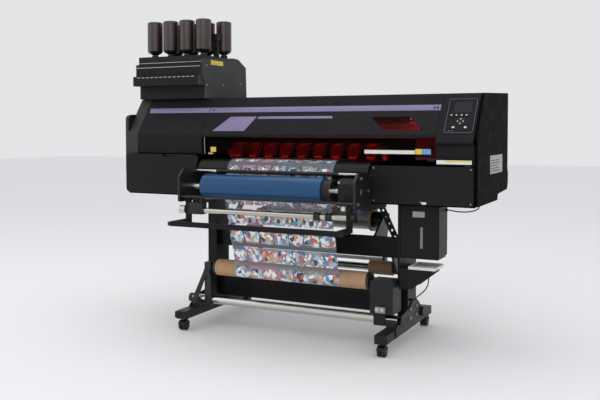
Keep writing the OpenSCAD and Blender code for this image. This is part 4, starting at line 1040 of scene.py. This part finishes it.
@dataclass(frozen=True)
class Slope:
    """The covers' sloping front face: where the crease is, and how it leans."""

    rise: float = 0.198
    run: float = 0.137
    roof: float = 0.2

    @property
    def angle(self) -> float:
        """The slope above the horizontal."""
        return math.atan2(self.rise, self.run)

    def on(self, x: float, up: float, proud: float = 0.0) -> Matrix:
        """Gives a plane on the slope.

        Args:
            x: Place along the machine.
            up: Distance from the crease up the slope.
            proud: Height above the surface.

        Returns:
            A matrix whose X runs along the machine and whose Y runs up the slope.
        """
        low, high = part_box("front_cover")
        crease = Vector((x, low.y, high.z - self.roof))
        lean = Matrix.Rotation(self.angle, 4, "X")
        return Matrix.Translation(crease) @ lean @ Matrix.Translation((0, up, proud))


def rounded(low: Flat, high: Flat, radius: float, steps: int = 4) -> list[Flat]:
    """Gives a rectangle's outline with round corners.

    Args:
        low: The lower corner.
        high: The upper corner.
        radius: The corners' radius.
        steps: Steps round each corner.

    Returns:
        The outline's points.
    """
    centres = ((high[0] - radius, high[1] - radius, 0), (low[0] + radius, high[1] - radius, 90),
               (low[0] + radius, low[1] + radius, 180), (high[0] - radius, low[1] + radius, 270))
    return [
        (cx + radius * math.cos(math.radians(start + 90 * k / steps)),
         cy + radius * math.sin(math.radians(start + 90 * k / steps)))
        for cx, cy, start in centres for k in range(steps + 1)
    ]


def facing_front(y: float) -> Matrix:
    """Gives a plane that faces the front, with its X along the machine and its Y upwards."""
    return Matrix.Translation((0, y, 0)) @ Matrix.Rotation(math.pi / 2, 4, "X")


def facing_right(x: float) -> Matrix:
    """Gives a plane that faces +X, with its X towards the back and its Y upwards."""
    return Matrix.Translation((x, 0, 0)) @ Matrix.Rotation(math.pi / 2, 4, "Z") @ \
        Matrix.Rotation(math.pi / 2, 4, "X")


# --------------------------------------------------------------------------------------
# Studio and cords
# --------------------------------------------------------------------------------------


@dataclass(frozen=True)
class Studio:
    """The camera, a plain pale floor and three soft lights."""

    floor_size: float = 40.0
    lens: float = 46.8
    sensor: float = 36.0
    shift: float = -0.0695
    place: Point = (1.860, -3.7275, 1.090)
    turn: Point = (87.8, 0.0, 26.3)
    sky: float = 0.92
    aim: Point = (0.0, 0.0, 0.9)
    lamps: tuple[tuple[str, Point, float, float], ...] = (
        ("key", (1.4, -3.8, 3.4), 3.0, 34.0),
        ("fill", (-3.4, -2.6, 2.6), 3.2, 14.0),
        ("top", (-0.4, 0.4, 4.6), 4.0, 40.0),
    )

    def build(self) -> None:
        """Sets up the view and the light."""
        camera = bpy.data.cameras.new("view")
        camera.lens, camera.sensor_width = self.lens, self.sensor
        camera.shift_y = self.shift
        holder = bpy.data.objects.new("view", camera)
        holder.location = self.place
        holder.rotation_euler = tuple(math.radians(angle) for angle in self.turn)
        bpy.context.scene.collection.objects.link(holder)
        bpy.context.scene.camera = holder
        bpy.context.scene.view_settings.view_transform = "Standard"
        Bench.clear()
        bpy.ops.mesh.primitive_plane_add(size=self.floor_size)
        floor = bpy.context.object
        floor.name = "floor"
        paint = Mixer("floor_paint")
        paint.set("Base Color", tone(243, 243, 244))
        paint.set("Roughness", 0.85)
        floor.data.materials.append(paint.material)
        world = bpy.data.worlds.new("studio")
        world.use_nodes = True
        backdrop = world.node_tree.nodes["Background"]
        backdrop.inputs["Color"].default_value = (*tone(236, 237, 239), 1.0)
        backdrop.inputs["Strength"].default_value = self.sky
        bpy.context.scene.world = world
        for name, place, size, power in self.lamps:
            lamp = bpy.data.lights.new(name, "AREA")
            lamp.size, lamp.energy = size, power
            lamp_holder = bpy.data.objects.new(name, lamp)
            lamp_holder.location = place
            beam = Vector(self.aim) - Vector(place)
            lamp_holder.rotation_euler = beam.to_track_quat("-Z", "Y").to_euler()
            bpy.context.scene.collection.objects.link(lamp_holder)
        log.info("studio: camera, floor and three lights")


@dataclass(frozen=True)
class Cable:
    """A free cable between two glands."""

    name: str
    node: str
    route: tuple[Point, ...]
    diameter: float = 0.006

    def build(self, bench: Bench) -> None:
        """Args:
            bench: The bench.
        """
        line = bpy.data.curves.new(self.name, "CURVE")
        line.dimensions = "3D"
        line.bevel_depth = self.diameter / 2
        line.bevel_resolution = 4
        line.use_fill_caps = True
        spline = line.splines.new("POLY")
        spline.points.add(len(self.route) - 1)
        for point, place in zip(spline.points, self.route):
            point.co = (*place, 1.0)
        cable = bpy.data.objects.new(self.name, line)
        bpy.context.scene.collection.objects.link(cable)
        bench.finish(cable, "cable_black")
        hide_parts(self.node)


def cables() -> tuple[Cable, Cable]:
    """Gives the two cables with their routes.

    Returns:
        The level sensor's cable and the tray's drain cable.
    """
    sensor = ((0.816, 0.688), (0.823, 0.688), (0.833, 0.6868), (0.844, 0.685), (0.855, 0.6836),
              (0.867, 0.6826), (0.879, 0.682), (0.891, 0.682), (0.903, 0.6825), (0.915, 0.6835),
              (0.927, 0.6852), (0.938, 0.6875), (0.948, 0.6905), (0.956, 0.694), (0.963, 0.698),
              (0.968, 0.702), (0.970, 0.7065), (0.970, 0.711))
    shelf = ((0.722, 0.0335, 0.383), (0.722, 0.0335, 0.373), (0.721, 0.0355, 0.361),
             (0.719, 0.0385, 0.349), (0.717, 0.0425, 0.337), (0.715, 0.0465, 0.325),
             (0.712, 0.0515, 0.313), (0.708, 0.0565, 0.301), (0.703, 0.0605, 0.290),
             (0.696, 0.0645, 0.279), (0.687, 0.0675, 0.268), (0.677, 0.0705, 0.258),
             (0.666, 0.0735, 0.248), (0.655, 0.0755, 0.239), (0.644, 0.0765, 0.229),
             (0.635, 0.0775, 0.220), (0.6285, 0.0775, 0.2145), (0.625, 0.0775, 0.213),
             (0.6216, 0.0775, 0.213))
    return (Cable("sensor_cable", "cable_tank", tuple((x, 0.0245, z) for x, z in sensor)),
            Cable("shelf_cable", "cable_foot", shelf))


# --------------------------------------------------------------------------------------
# Sub-assemblies
# --------------------------------------------------------------------------------------


@dataclass(frozen=True)
class FilmWeb:
    """The printed film over the platen and apron, and its lower run down to the take-up core."""

    wrap: float = 0.0449
    bend: float = 0.0632
    nip: float = -0.260

    def build(self, bench: Bench) -> None:
        """Makes the two runs of film.

        Args:
            bench: The bench.
        """
        low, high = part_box("film_web")
        axis_y, axis_z = axis_of("takeup_core")
        round_core = [(axis_y - self.wrap * math.cos(math.radians(a)),
                       axis_z + self.wrap * math.sin(math.radians(a))) for a in range(-86, 25, 6)]
        lower = bench.ribbon("film_lower", round_core + [(-0.2405, 0.700), (self.nip, 0.768)],
                             low.x, high.x)
        bench.finish(lower, "printed_film")
        platen_low, platen_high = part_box("platen")
        centre = (platen_low.y + 0.0587, platen_high.z - 0.060)
        apron = [(centre[0] - self.bend * math.sin(math.radians(a)),
                  centre[1] + self.bend * math.cos(math.radians(a))) for a in range(80, -1, -5)]
        path = [(self.nip, 0.813)] + apron + [(platen_high.y + 0.01, platen_high.z + 0.0025),
                                            (0.2685, 0.857), (0.2685, 0.719), (0.245, 0.598)]
        upper = bench.ribbon("film_upper", path, low.x, high.x)
        bench.finish(upper, "printed_film")
        for piece in (lower, upper):
            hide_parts("film_web")
        log.info("film: two runs")


@dataclass(frozen=True)
class FrontTrim:
    """The lilac stripe and panel, the window's frame line, labels and small screws."""

    slope: Slope = Slope()
    proud: float = 0.0003
    skin: float = 0.0004
    stripe: Flat = (0.141, 0.174)
    seam: Flat = (-0.4955, -0.4915)

    def band(self, bench: Bench, name: str, corners: list[Flat], finish: str, body: str) -> None:
        """Lays a thin film on the slope.

        Args:
            bench: The bench.
            name: The piece's name.
            corners: Its corners, in metres along the machine and up the slope.
            finish: Its finish.
            body: The body it rides on.
        """
        piece = bench.plate(name, corners, self.skin, self.slope.on(0.0, 0.0, self.proud), 0.00015)
        bench.finish(piece, finish, body)

    def build(self, bench: Bench) -> None:
        """Makes the trim.

        Args:
            bench: The bench.
        """
        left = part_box("left_front_cover")[0].x
        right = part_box("front_cover")[1].x - 0.0015
        seam_left, seam_right = self.seam
        low, high = self.stripe
        self.band(bench, "stripe_left", [(left + 0.024, low), (seam_left, low), (seam_left, high),
                                         (left + 0.016, high)], "stripe_lilac", "machine")
        self.band(bench, "stripe_front", [(seam_right, low), (right, low), (right, high),
                                          (seam_right, high)], "stripe_lilac", "cover")
        self.band(bench, "panel_lilac", [(-0.428, 0.019), (-0.232, 0.019), (-0.182, 0.112),
                                         (-0.344, 0.112)], "stripe_lilac", "cover")
        self.band(bench, "panel_tail", [(-0.176, 0.097), (0.262, 0.097), (0.254, 0.112),
                                        (-0.170, 0.112)], "line_lilac", "cover")
        self.band(bench, "window_line", [(0.262, 0.1030), (0.470, 0.1085), (0.470, 0.1115),
                                         (0.262, 0.1060)], "groove", "cover")
        self.band(bench, "roof_line", [(seam_right, 0.2285), (right, 0.2285), (right, 0.2305),
                                       (seam_right, 0.2305)], "groove", "cover")
        marks = [self.mark(bench, x) for x in (-0.470, 0.776, 0.792)]
        bench.finish(bench.joined("stripe_marks", marks), "groove", "cover")
        self.labels(bench)
        self.screws(bench)
        log.info("front trim done")

    def mark(self, bench: Bench, x: float) -> bpy.types.Object:
        """Shapes one of the small dark squares in the stripe."""
        return bench.plate("mark", [(x, 0.150), (x + 0.008, 0.150), (x + 0.008, 0.164), (x, 0.164)],
                           0.0004, self.slope.on(0.0, 0.0, 0.0008), 0.0)

    def labels(self, bench: Bench) -> None:
        """Sticks the small labels on the window and below the covers.

        Args:
            bench: The bench.
        """
        window_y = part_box("front_window")[0].y + 0.0005
        tags = (
            ("sticker_yellow", "paper_yellow", -0.437, 0.964, 0.035, 0.026),
            ("cream_bracket", "cream", -0.452, 0.9515, 0.030, 0.008),
            ("window_edge", "paper_white", -0.4755, 0.952, 0.0022, 0.092),
            ("sticker_white_strip", "paper_white", 0.453, 0.967, 0.2565, 0.018),
            ("sticker_yellow_small", "paper_yellow", 0.7115, 0.967, 0.033, 0.025),
            ("sticker_blue_small", "paper_blue", 0.7465, 0.967, 0.041, 0.025),
        )
        lean = math.atan2(0.005, 0.110)
        window_top = 1.052
        for name, finish, x, z, wide, tall in tags:
            y = window_y + (window_top - z) * math.tan(lean) - 0.0012
            place = Matrix.Translation((x, y, z)) @ \
                Matrix.Rotation(math.pi / 2 + lean, 4, "X")
            piece = bench.plate(name, rounded((0, 0), (wide, tall), 0.0015), 0.0004, place, 0.0)
            bench.finish(piece, finish, "cover")
        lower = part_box("right_lower_cover")[0]
        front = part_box("right_front_cover")[0].y
        for name, finish, outline, thick, y in (
            ("strip_label", "paper_white", rounded((0.0, -0.004), (0.165, 0.0145), 0.001),
             0.0004, front + 0.0046),
            ("strip_label_band", "paper_yellow", rounded((0.040, 0.0065), (0.160, 0.0125), 0.0008),
             0.0003, front + 0.0040),
        ):
            place = Matrix.Translation((0.822, 0.0, 0.9275)) @ facing_front(y)
            bench.finish(bench.plate(name, outline, thick, place, 0.0), finish)
        serial = bench.plate("small_label", rounded((0.750, 0.731), (0.772, 0.742), 0.001), 0.0004,
                             facing_front(lower.y - 0.0002), 0.0)
        bench.finish(serial, "paper_white")

    def screws(self, bench: Bench) -> None:
        """Sets the small screws of the lower covers and the service hatch.

        Args:
            bench: The bench.
        """
        low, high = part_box("right_lower_cover")
        inset = 0.012
        first = bench.screw("cover_screws", (low.x + inset, low.y, low.z + inset), (0, -1, 0),
                            0.0035)
        wide, tall = high.x - low.x - 2 * inset, high.z - low.z - 2 * inset
        screws = bench.row(first, [(wide, 0, 0), (wide / 2, 0, 0), (0, 0, tall), (wide, 0, tall)])
        bench.finish(screws, "zinc")
        hatch_low, hatch_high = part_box("maintenance_cover")
        knob = bench.turned("hatch_latch", (hatch_low.x + 0.06, hatch_low.y + 0.0005,
                                            hatch_high.z - 0.03), (0, -1, 0),
                            [(-0.001, 0.008), (0.0015, 0.008), (0.002, 0.0064), (0.0035, 0.0058),
                             (0.004, 0.0048), (0.0022, 0.0042)], 28)
        latches = bench.row(knob, [(0.350, 0, 0)])
        bench.finish(latches, "fork_black", "hatch")


@dataclass(frozen=True)
class ControlPanel:
    """The key panel: a thin outline, light key caps with marks, and two status lamps."""

    slope: Slope = Slope()
    key_proud: float = 0.0036

    def build(self, bench: Bench) -> None:
        """Makes the key caps, marks and outline.

        Args:
            bench: The bench.
        """
        outline = bench.plate("panel_outline", rounded((-0.067, -0.098), (0.067, 0.098), 0.012, 6),
                              0.0004, self.slope.on(0.916, 0.107, 0.0022), 0.0)
        self.hollow(outline, 0.0014)
        bench.finish(outline, "line_lilac")
        for number, x in enumerate((0.870, 0.894, 0.919, 0.942), start=1):
            outline = rounded((-0.0040, -0.0034), (0.0040, 0.0034), 0.0033, 5)
            cap = bench.plate(f"function_cap_{number}", outline, 0.0004,
                              self.slope.on(x, 0.110, self.key_proud), 0.0001)
            bench.finish(cap, "key_light", f"function_key_{number}_body")
        dots = []
        for step in range(4):
            angle = step * math.pi / 2
            dots.append(bench.plate("arrow", [(-0.0042, -0.0028), (0.0042, -0.0028), (0.0, 0.0042)],
                                    0.0004, self.slope.on(0.918, 0.075, self.key_proud)
                                    @ Matrix.Rotation(angle, 4, "Z")
                                    @ Matrix.Translation((0.0, 0.0135, 0.0)), 0.0))
        arrows = bench.joined("arrow_marks", dots)
        bench.finish(arrows, "key_light", "arrow_pad_body")
        for name, x, body in (("power_cap", 0.889, "power_key_body"),
                              ("enter_cap", 0.946, "enter_key_body")):
            outline = rounded((-0.0062, -0.0054), (0.0062, 0.0054), 0.0052, 6)
            cap = bench.plate(name, outline, 0.0006, self.slope.on(x, 0.040, self.key_proud),
                              0.0002)
            bench.finish(cap, "key_light", body)
        lamps = [bench.plate("lamp", rounded((-0.002, -0.002), (0.002, 0.002), 0.0018), 0.0004,
                             self.slope.on(x, 0.020, 0.0022), 0.0) for x in (0.871, 0.886)]
        bench.finish(bench.joined("status_lamps", lamps), "paper_blue")
        log.info("control panel done")

    def hollow(self, piece: bpy.types.Object, width: float) -> None:
        """Turns a thin plate into a frame by insetting its faces and deleting the middles.

        Args:
            piece: The plate.
            width: The frame's width.
        """
        Bench.clear()
        bpy.context.view_layer.objects.active = piece
        piece.select_set(True)
        bpy.ops.object.mode_set(mode="EDIT")
        bpy.ops.mesh.select_mode(type="FACE")
        bpy.ops.mesh.select_all(action="DESELECT")
        bpy.ops.object.mode_set(mode="OBJECT")
        largest = max(polygon.area for polygon in piece.data.polygons)
        for polygon in piece.data.polygons:
            polygon.select = polygon.area > largest * 0.9
        bpy.ops.object.mode_set(mode="EDIT")
        bpy.ops.mesh.inset(thickness=width, depth=0.0)
        bpy.ops.mesh.delete(type="FACE")
        bpy.ops.mesh.select_mode(type="VERT")
        bpy.ops.object.mode_set(mode="OBJECT")


@dataclass(frozen=True)
class InkUnit:
    """The ink case's trim and the bottles' collars and base rings."""

    pitch: float = 0.112

    def build(self, bench: Bench) -> None:
        """Makes the ledge marks, the bright lines, the side label and screws, and the bottles' rims
        and collars.

        Args:
            bench: The bench.
        """
        low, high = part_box("ink_case")
        x1 = high.x - 0.008
        dash = rounded((low.x + 0.030, 1.3745), (low.x + 0.050, 1.3785), 0.0008)
        ledge = bench.plate("ledge_dash", dash, 0.0005, facing_front(low.y - 0.0002), 0.0)
        dashes = bench.row(ledge, [(0.0305 * k, 0, 0) for k in range(1, 13)])
        bench.finish(dashes, "paper_grey")
        line = bench.block("bright_line", (low.x + 0.004, low.y + 0.0268, 1.4330),
                           (x1 - 0.004, low.y + 0.0279, 1.4362), 0.0003)
        bench.finish(line, "anodised")
        deck_low, deck_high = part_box("ink_deck")
        line_two = bench.block("deck_line", (deck_low.x + 0.004, deck_low.y - 0.0009, 1.4600),
                               (deck_high.x - 0.006, deck_low.y + 0.0004, 1.4630), 0.0003)
        bench.finish(line_two, "anodised")
        tag = bench.plate("side_label", rounded((-0.016, 1.447), (0.112, 1.472), 0.001), 0.0005,
                          facing_right(high.x + 0.0002), 0.0)
        bench.finish(tag, "paper_yellow")
        screw = bench.screw("side_screws", (high.x, -0.060, 1.330), (1, 0, 0), 0.0045)
        screws = bench.row(screw, [(0, 0.17, 0.008), (0, 0.37, 0.022), (0, 0.0, 0.11),
                                   (0, 0.17, 0.12)])
        bench.finish(screws, "zinc")
        rim_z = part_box("ink_bottles")[1].z - 0.0105
        others = [(self.pitch * k, 0, 0) for k in range(1, 4)]
        for index, (x, y) in enumerate(((-0.933, 0.0115), (-0.895, 0.1675))):
            base = bench.turned(f"bottle_rim_{index}", (x, y, rim_z), (0, 0, 1),
                                [(0.0, 0.0443), (0.0012, 0.0448), (0.0026, 0.0448),
                                 (0.0038, 0.0443)], 48)
            rims = bench.row(base, others)
            bench.finish(rims, "bottle")
            collar = bench.turned(f"bottle_cap_{index}", (x, y, 1.4782), (0, 0, 1),
                                  [(0.0, 0.0192), (0.002, 0.0206), (0.004, 0.0200), (0.020, 0.0200),
                                   (0.023, 0.0206), (0.030, 0.0206), (0.033, 0.0196)], 36)
            collars = bench.row(collar, others)
            bench.finish(collars, "matt_plastic")
        log.info("ink unit done")


@dataclass(frozen=True)
class Laminator:
    """Bolts, knobs, the bright second rod and bracket of the laminating unit."""

    bolt: float = 0.0062

    def bolts(self, bench: Bench, name: str, start: Point, steps: list[Point], way: Point) -> None:
        """Sets a row of socket-head bolts.

        Args:
            bench: The bench.
            name: The piece's name.
            start: The first bolt's seat.
            steps: The others, from the first.
            way: Which way the heads point.
        """
        first = bench.turned(name, start, way, [(-0.0005, self.bolt), (0.0045, self.bolt),
                                                (0.0055, self.bolt * 0.85),
                                                (0.0056, self.bolt * 0.52),
                                                (0.0025, self.bolt * 0.5)], 24)
        bench.finish(bench.row(first, steps), "zinc")

    def build(self, bench: Bench) -> None:
        """Makes the laminator's small pieces.

        Args:
            bench: The bench.
        """
        low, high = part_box("laminator_frame")
        rod_y, rod_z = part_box("pressure_roller")[0].y + 0.004, 0.838
        chrome = bench.rod("rod_chrome", (0.383, rod_y, rod_z), (0.4875, rod_y, rod_z), 0.007)
        bench.finish(chrome, "ground_steel")
        for name, x, way in (("plate_bolts_left", low.x, -1), ("plate_bolts_right", high.x, 1)):
            self.bolts(bench, name, (x, -0.370, 0.736),
                       [(0, 0.20, 0), (0, 0.04, 0.118), (0, 0.215, 0.08)], (way, 0, 0))
        drive_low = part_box("laminator_drive")[0]
        self.bolts(bench, "drive_bolts", (drive_low.x + 0.014, drive_low.y, drive_low.z + 0.014),
                   [(0.078, 0, 0), (0, 0, 0.098), (0.078, 0, 0.098)], (0, -1, 0))
        vent = bench.block("drive_slots", (drive_low.x + 0.030, drive_low.y - 0.0008, 0.752),
                           (drive_low.x + 0.076, drive_low.y + 0.0003, 0.755), 0.0003)
        bench.finish(bench.row(vent, [(0, 0, 0.008 * k) for k in range(1, 6)]), "groove")
        bracket = bench.block("white_bracket", (0.410, drive_low.y - 0.004, 0.700),
                              (0.430, drive_low.y - 0.0005, 0.7205), 0.0008)
        bench.finish(bracket, "bracket_white")
        tension_low, tension_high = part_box("tension_shaft")
        axis_y, axis_z = axis_of("tension_shaft")
        knob = bench.turned("tension_knob", (tension_low.x + 0.0005, axis_y, axis_z), (-1, 0, 0),
                            [(-0.002, 0.0170), (0.0012, 0.0170), (0.0022, 0.0158), (0.0023, 0.0072),
                             (0.0008, 0.0066)], 32)
        bench.finish(knob, "ground_steel", "tension")
        for name, x in (("clamp_screw_left", tension_high.x - 0.197),
                        ("clamp_screw_right", tension_high.x - 0.135)):
            screw = bench.turned(name, (x, axis_y, axis_z), (0, 0, 1),
                                 [(0.0195, 0.0034), (0.0222, 0.0034), (0.0230, 0.0028),
                                  (0.0231, 0.0016), (0.0212, 0.0015)], 18)
            bench.finish(screw, "zinc", "tension")
        guard_low, guard_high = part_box("guard_bar")
        x, y, z = guard_low
        caps = bench.block("guard_caps", (x + 0.002, y - 0.001, z + 0.002),
                           (x + 0.022, y + 0.0005, z + 0.022), 0.0006)
        bench.finish(bench.row(caps, [(guard_high.x - guard_low.x - 0.024, 0, 0)]), "matt_plastic")
        roller_low, roller_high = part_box("laminating_roller")
        y, z = axis_of("laminating_roller")
        for name, x, way in (("roller_nut_left", roller_low.x, -1),
                             ("roller_nut_right", roller_high.x, 1)):
            nut = bench.turned(name, (x - 0.004 * way, y, z), (way, 0, 0),
                               [(0.0, 0.0145), (0.003, 0.0150), (0.0036, 0.0140)], 6)
            bench.finish(nut, "zinc", "laminating")
        log.info("laminator done")


@dataclass(frozen=True)
class WindingGear:
    """Clamps, pins and caps of the take-up, and the hub bolts of the supply roll."""

    def build(self, bench: Bench) -> None:
        """Makes the winding gear's small pieces.

        Args:
            bench: The bench.
        """
        drive_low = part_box("takeup_drive")[0]
        socket = bench.turned("connector_pins", (drive_low.x + 0.040, drive_low.y + 0.001, 0.2035),
                              (0, -1, 0), [(-0.001, 0.0098), (0.0022, 0.0098), (0.0028, 0.0088),
                                           (0.0029, 0.0062), (0.0012, 0.0058)], 28)
        bench.finish(bench.row(socket, [(0.027, 0, 0)]), "zinc")
        screw = bench.screw("drive_screws", (drive_low.x + 0.012, -0.1605, 0.328), (0, -1, 0),
                            0.0038)
        bench.finish(bench.row(screw, [(0.096, 0, 0), (0, 0, -0.094), (0.096, 0, -0.094)]),
                     "fork_black")
        x, y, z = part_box("takeup_rail")[0]
        lever = bench.rod("clamp_lever", (x + 0.100, y - 0.003, z + 0.0375),
                          (x + 0.100, y - 0.028, z + 0.043), 0.0042)
        knob = bench.turned("clamp_knob", (x + 0.100, y - 0.022, z + 0.0415), (0, -0.97, 0.21),
                            [(0.0, 0.0060), (0.004, 0.0088), (0.010, 0.0092), (0.0135, 0.0070)],
                            24)
        bench.finish(bench.joined("clamp_lever", [lever, knob]), "matt_plastic")
        core_low, core_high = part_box("takeup_core")
        y, z = axis_of("takeup_core")
        for name, x, way in (("core_cap_left", core_low.x + 0.0595, -1),
                             ("core_cap_right", core_high.x - 0.0435, 1)):
            cap = bench.turned(name, (x, y, z), (way, 0, 0),
                               [(0.0, 0.034), (0.002, 0.034), (0.0035, 0.030), (0.0036, 0.018),
                                (0.006, 0.016)], 36)
            bench.finish(cap, "matt_plastic", "winding")
        roll_low, roll_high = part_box("supply_roll")
        y, z = axis_of("supply_roll")
        for name, x, way in (("hub_bolts_left", roll_low.x + 0.0245, -1),
                             ("hub_bolts_right", roll_high.x - 0.0245, 1)):
            ring = []
            for step in range(4):
                angle = math.radians(45 + 90 * step)
                ring.append(bench.screw("bolt", (x, y + 0.030 * math.cos(angle),
                                                 z + 0.030 * math.sin(angle)), (way, 0, 0), 0.0045))
            bench.finish(bench.joined(name, ring), "zinc", "supply")
        log.info("winding gear done")


@dataclass(frozen=True)
class Stand:
    """Caster hub caps, beam end caps and the legs' bolts."""

    def build(self, bench: Bench) -> None:
        """Makes the stand's small pieces.

        Args:
            bench: The bench.
        """
        for end in ("front", "rear"):
            for side in ("left", "right"):
                low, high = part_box(f"caster_wheels_{end}_{side}")
                y, z = axis_of(f"caster_wheels_{end}_{side}")
                caps = []
                for x, way in ((low.x, -1), (high.x, 1)):
                    caps.append(bench.turned("cap", (x, y, z), (way, 0, 0),
                                             [(-0.0008, 0.0150), (0.0004, 0.0150), (0.0008, 0.0138),
                                              (0.0009, 0.0050), (0.0002, 0.0045)], 28))
                bench.finish(bench.joined(f"hub_{end}_{side}", caps), "fork_black",
                             f"wheels_{end}_{side}")
        low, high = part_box("foot_beams")
        seam = bench.block("beam_cap_front", (low.x + 0.012, low.y - 0.0009, low.z + 0.004),
                           (low.x + 0.064, low.y + 0.0004, low.z + 0.038), 0.002)
        caps = bench.row(seam, [(high.x - low.x - 0.076, 0, 0)])
        bench.finish(caps, "matt_plastic")
        for name, x, way in (("leg_bolts_left", low.x + 0.004, -1),
                             ("leg_bolts_right", 0.615, 1)):
            bolt = bench.turned(name, (x, 0.060, 0.1215), (way, 0, 0),
                                [(-0.0005, 0.0075), (0.0050, 0.0075), (0.0058, 0.0064),
                                 (0.0059, 0.0038), (0.0030, 0.0036)], 24)
            bench.finish(bench.row(bolt, [(0, 0.10, 0), (0, 0.0, 0.046), (0, 0.10, 0.046)]), "zinc")
        log.info("stand done")


@dataclass(frozen=True)
class SideAndRear:
    """The right side's rating label, the tank's sight glass, and the rear inlet's fittings."""

    def build(self, bench: Bench) -> None:
        """Makes the side and rear details.

        Args:
            bench: The bench.
        """
        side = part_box("right_end_cover")[1].x
        plate = bench.plate("rating_label", rounded((0.080, 0.866), (0.356, 0.957), 0.003), 0.0005,
                            facing_right(side + 0.0001), 0.0)
        bench.finish(plate, "paper_grey")
        start, pitch = 0.094, 0.013
        lines = [
            bench.plate("line", rounded((start, 0.878 + pitch * k),
                                        (start + 0.20 * (1 - 0.12 * (k % 3)), 0.8815 + pitch * k),
                                        0.0008), 0.0003, facing_right(side + 0.0007), 0.0)
            for k in range(5)
        ]
        bench.finish(bench.joined("rating_lines", lines), "groove")
        screw = bench.screw("side_cover_screws", (side, -0.060, 0.800), (1, 0, 0), 0.0042)
        bench.finish(bench.row(screw, [(0, 0.30, 0), (0, 0.52, 0), (0, 0.02, 0.38),
                                       (0, 0.50, 0.40)]), "fork_black")
        x, y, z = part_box("waste_tank")[0]
        sight = bench.block("sight_glass", (x + 0.0995, y + 0.0004, z + 0.0440),
                            (x + 0.1135, y + 0.0022, z + 0.1480), 0.001)
        bench.finish(sight, "sight_clear")
        tape = bench.plate("tank_label", rounded((x + 0.062, z + 0.196), (x + 0.122, z + 0.224),
                                                 0.001), 0.0004, facing_front(y - 0.0001), 0.0)
        bench.finish(tape, "paper_grey")
        rear_low, rear_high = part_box("rear_cover")
        pin = bench.block("inlet_pins", (0.740, 0.4885, 0.984), (0.7415, 0.4955, 0.990), 0.0003)
        bench.finish(bench.row(pin, [(0.0095, 0, -0.005), (0.0190, 0, 0)]), "zinc")
        screw = bench.screw("rear_screws", (rear_low.x + 0.03, rear_high.y, 0.800), (0, 1, 0),
                            0.0042)
        bench.finish(bench.row(screw, [(0.62, 0, 0), (1.24, 0, 0), (1.85, 0, 0), (0, 0, 0.28),
                                       (1.85, 0, 0.28)]), "zinc")
        bolt = bench.screw("rear_frame_screws", (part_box("rear_frame")[0].x, 0.2295, 0.345),
                           (-1, 0, 0), 0.005)
        bench.finish(bolt, "zinc")
        log.info("side and rear done")


def main() -> None:
    """Builds everything in order."""
    logging.basicConfig(level=logging.INFO, format="%(name)s: %(message)s")
    Studio().build()
    wardrobe = Wardrobe()
    finishes = wardrobe.finishes()
    bench = Bench(finishes)
    for cable in cables():
        cable.build(bench)
    wardrobe.dress(finishes)
    FilmWeb().build(bench)
    FrontTrim().build(bench)
    ControlPanel().build(bench)
    InkUnit().build(bench)
    Laminator().build(bench)
    WindingGear().build(bench)
    Stand().build(bench)
    SideAndRear().build(bench)
    Bench.clear()
    log.info("pieces fixed to bodies: %d", bench.count)


if __name__ == "__main__":
    main()
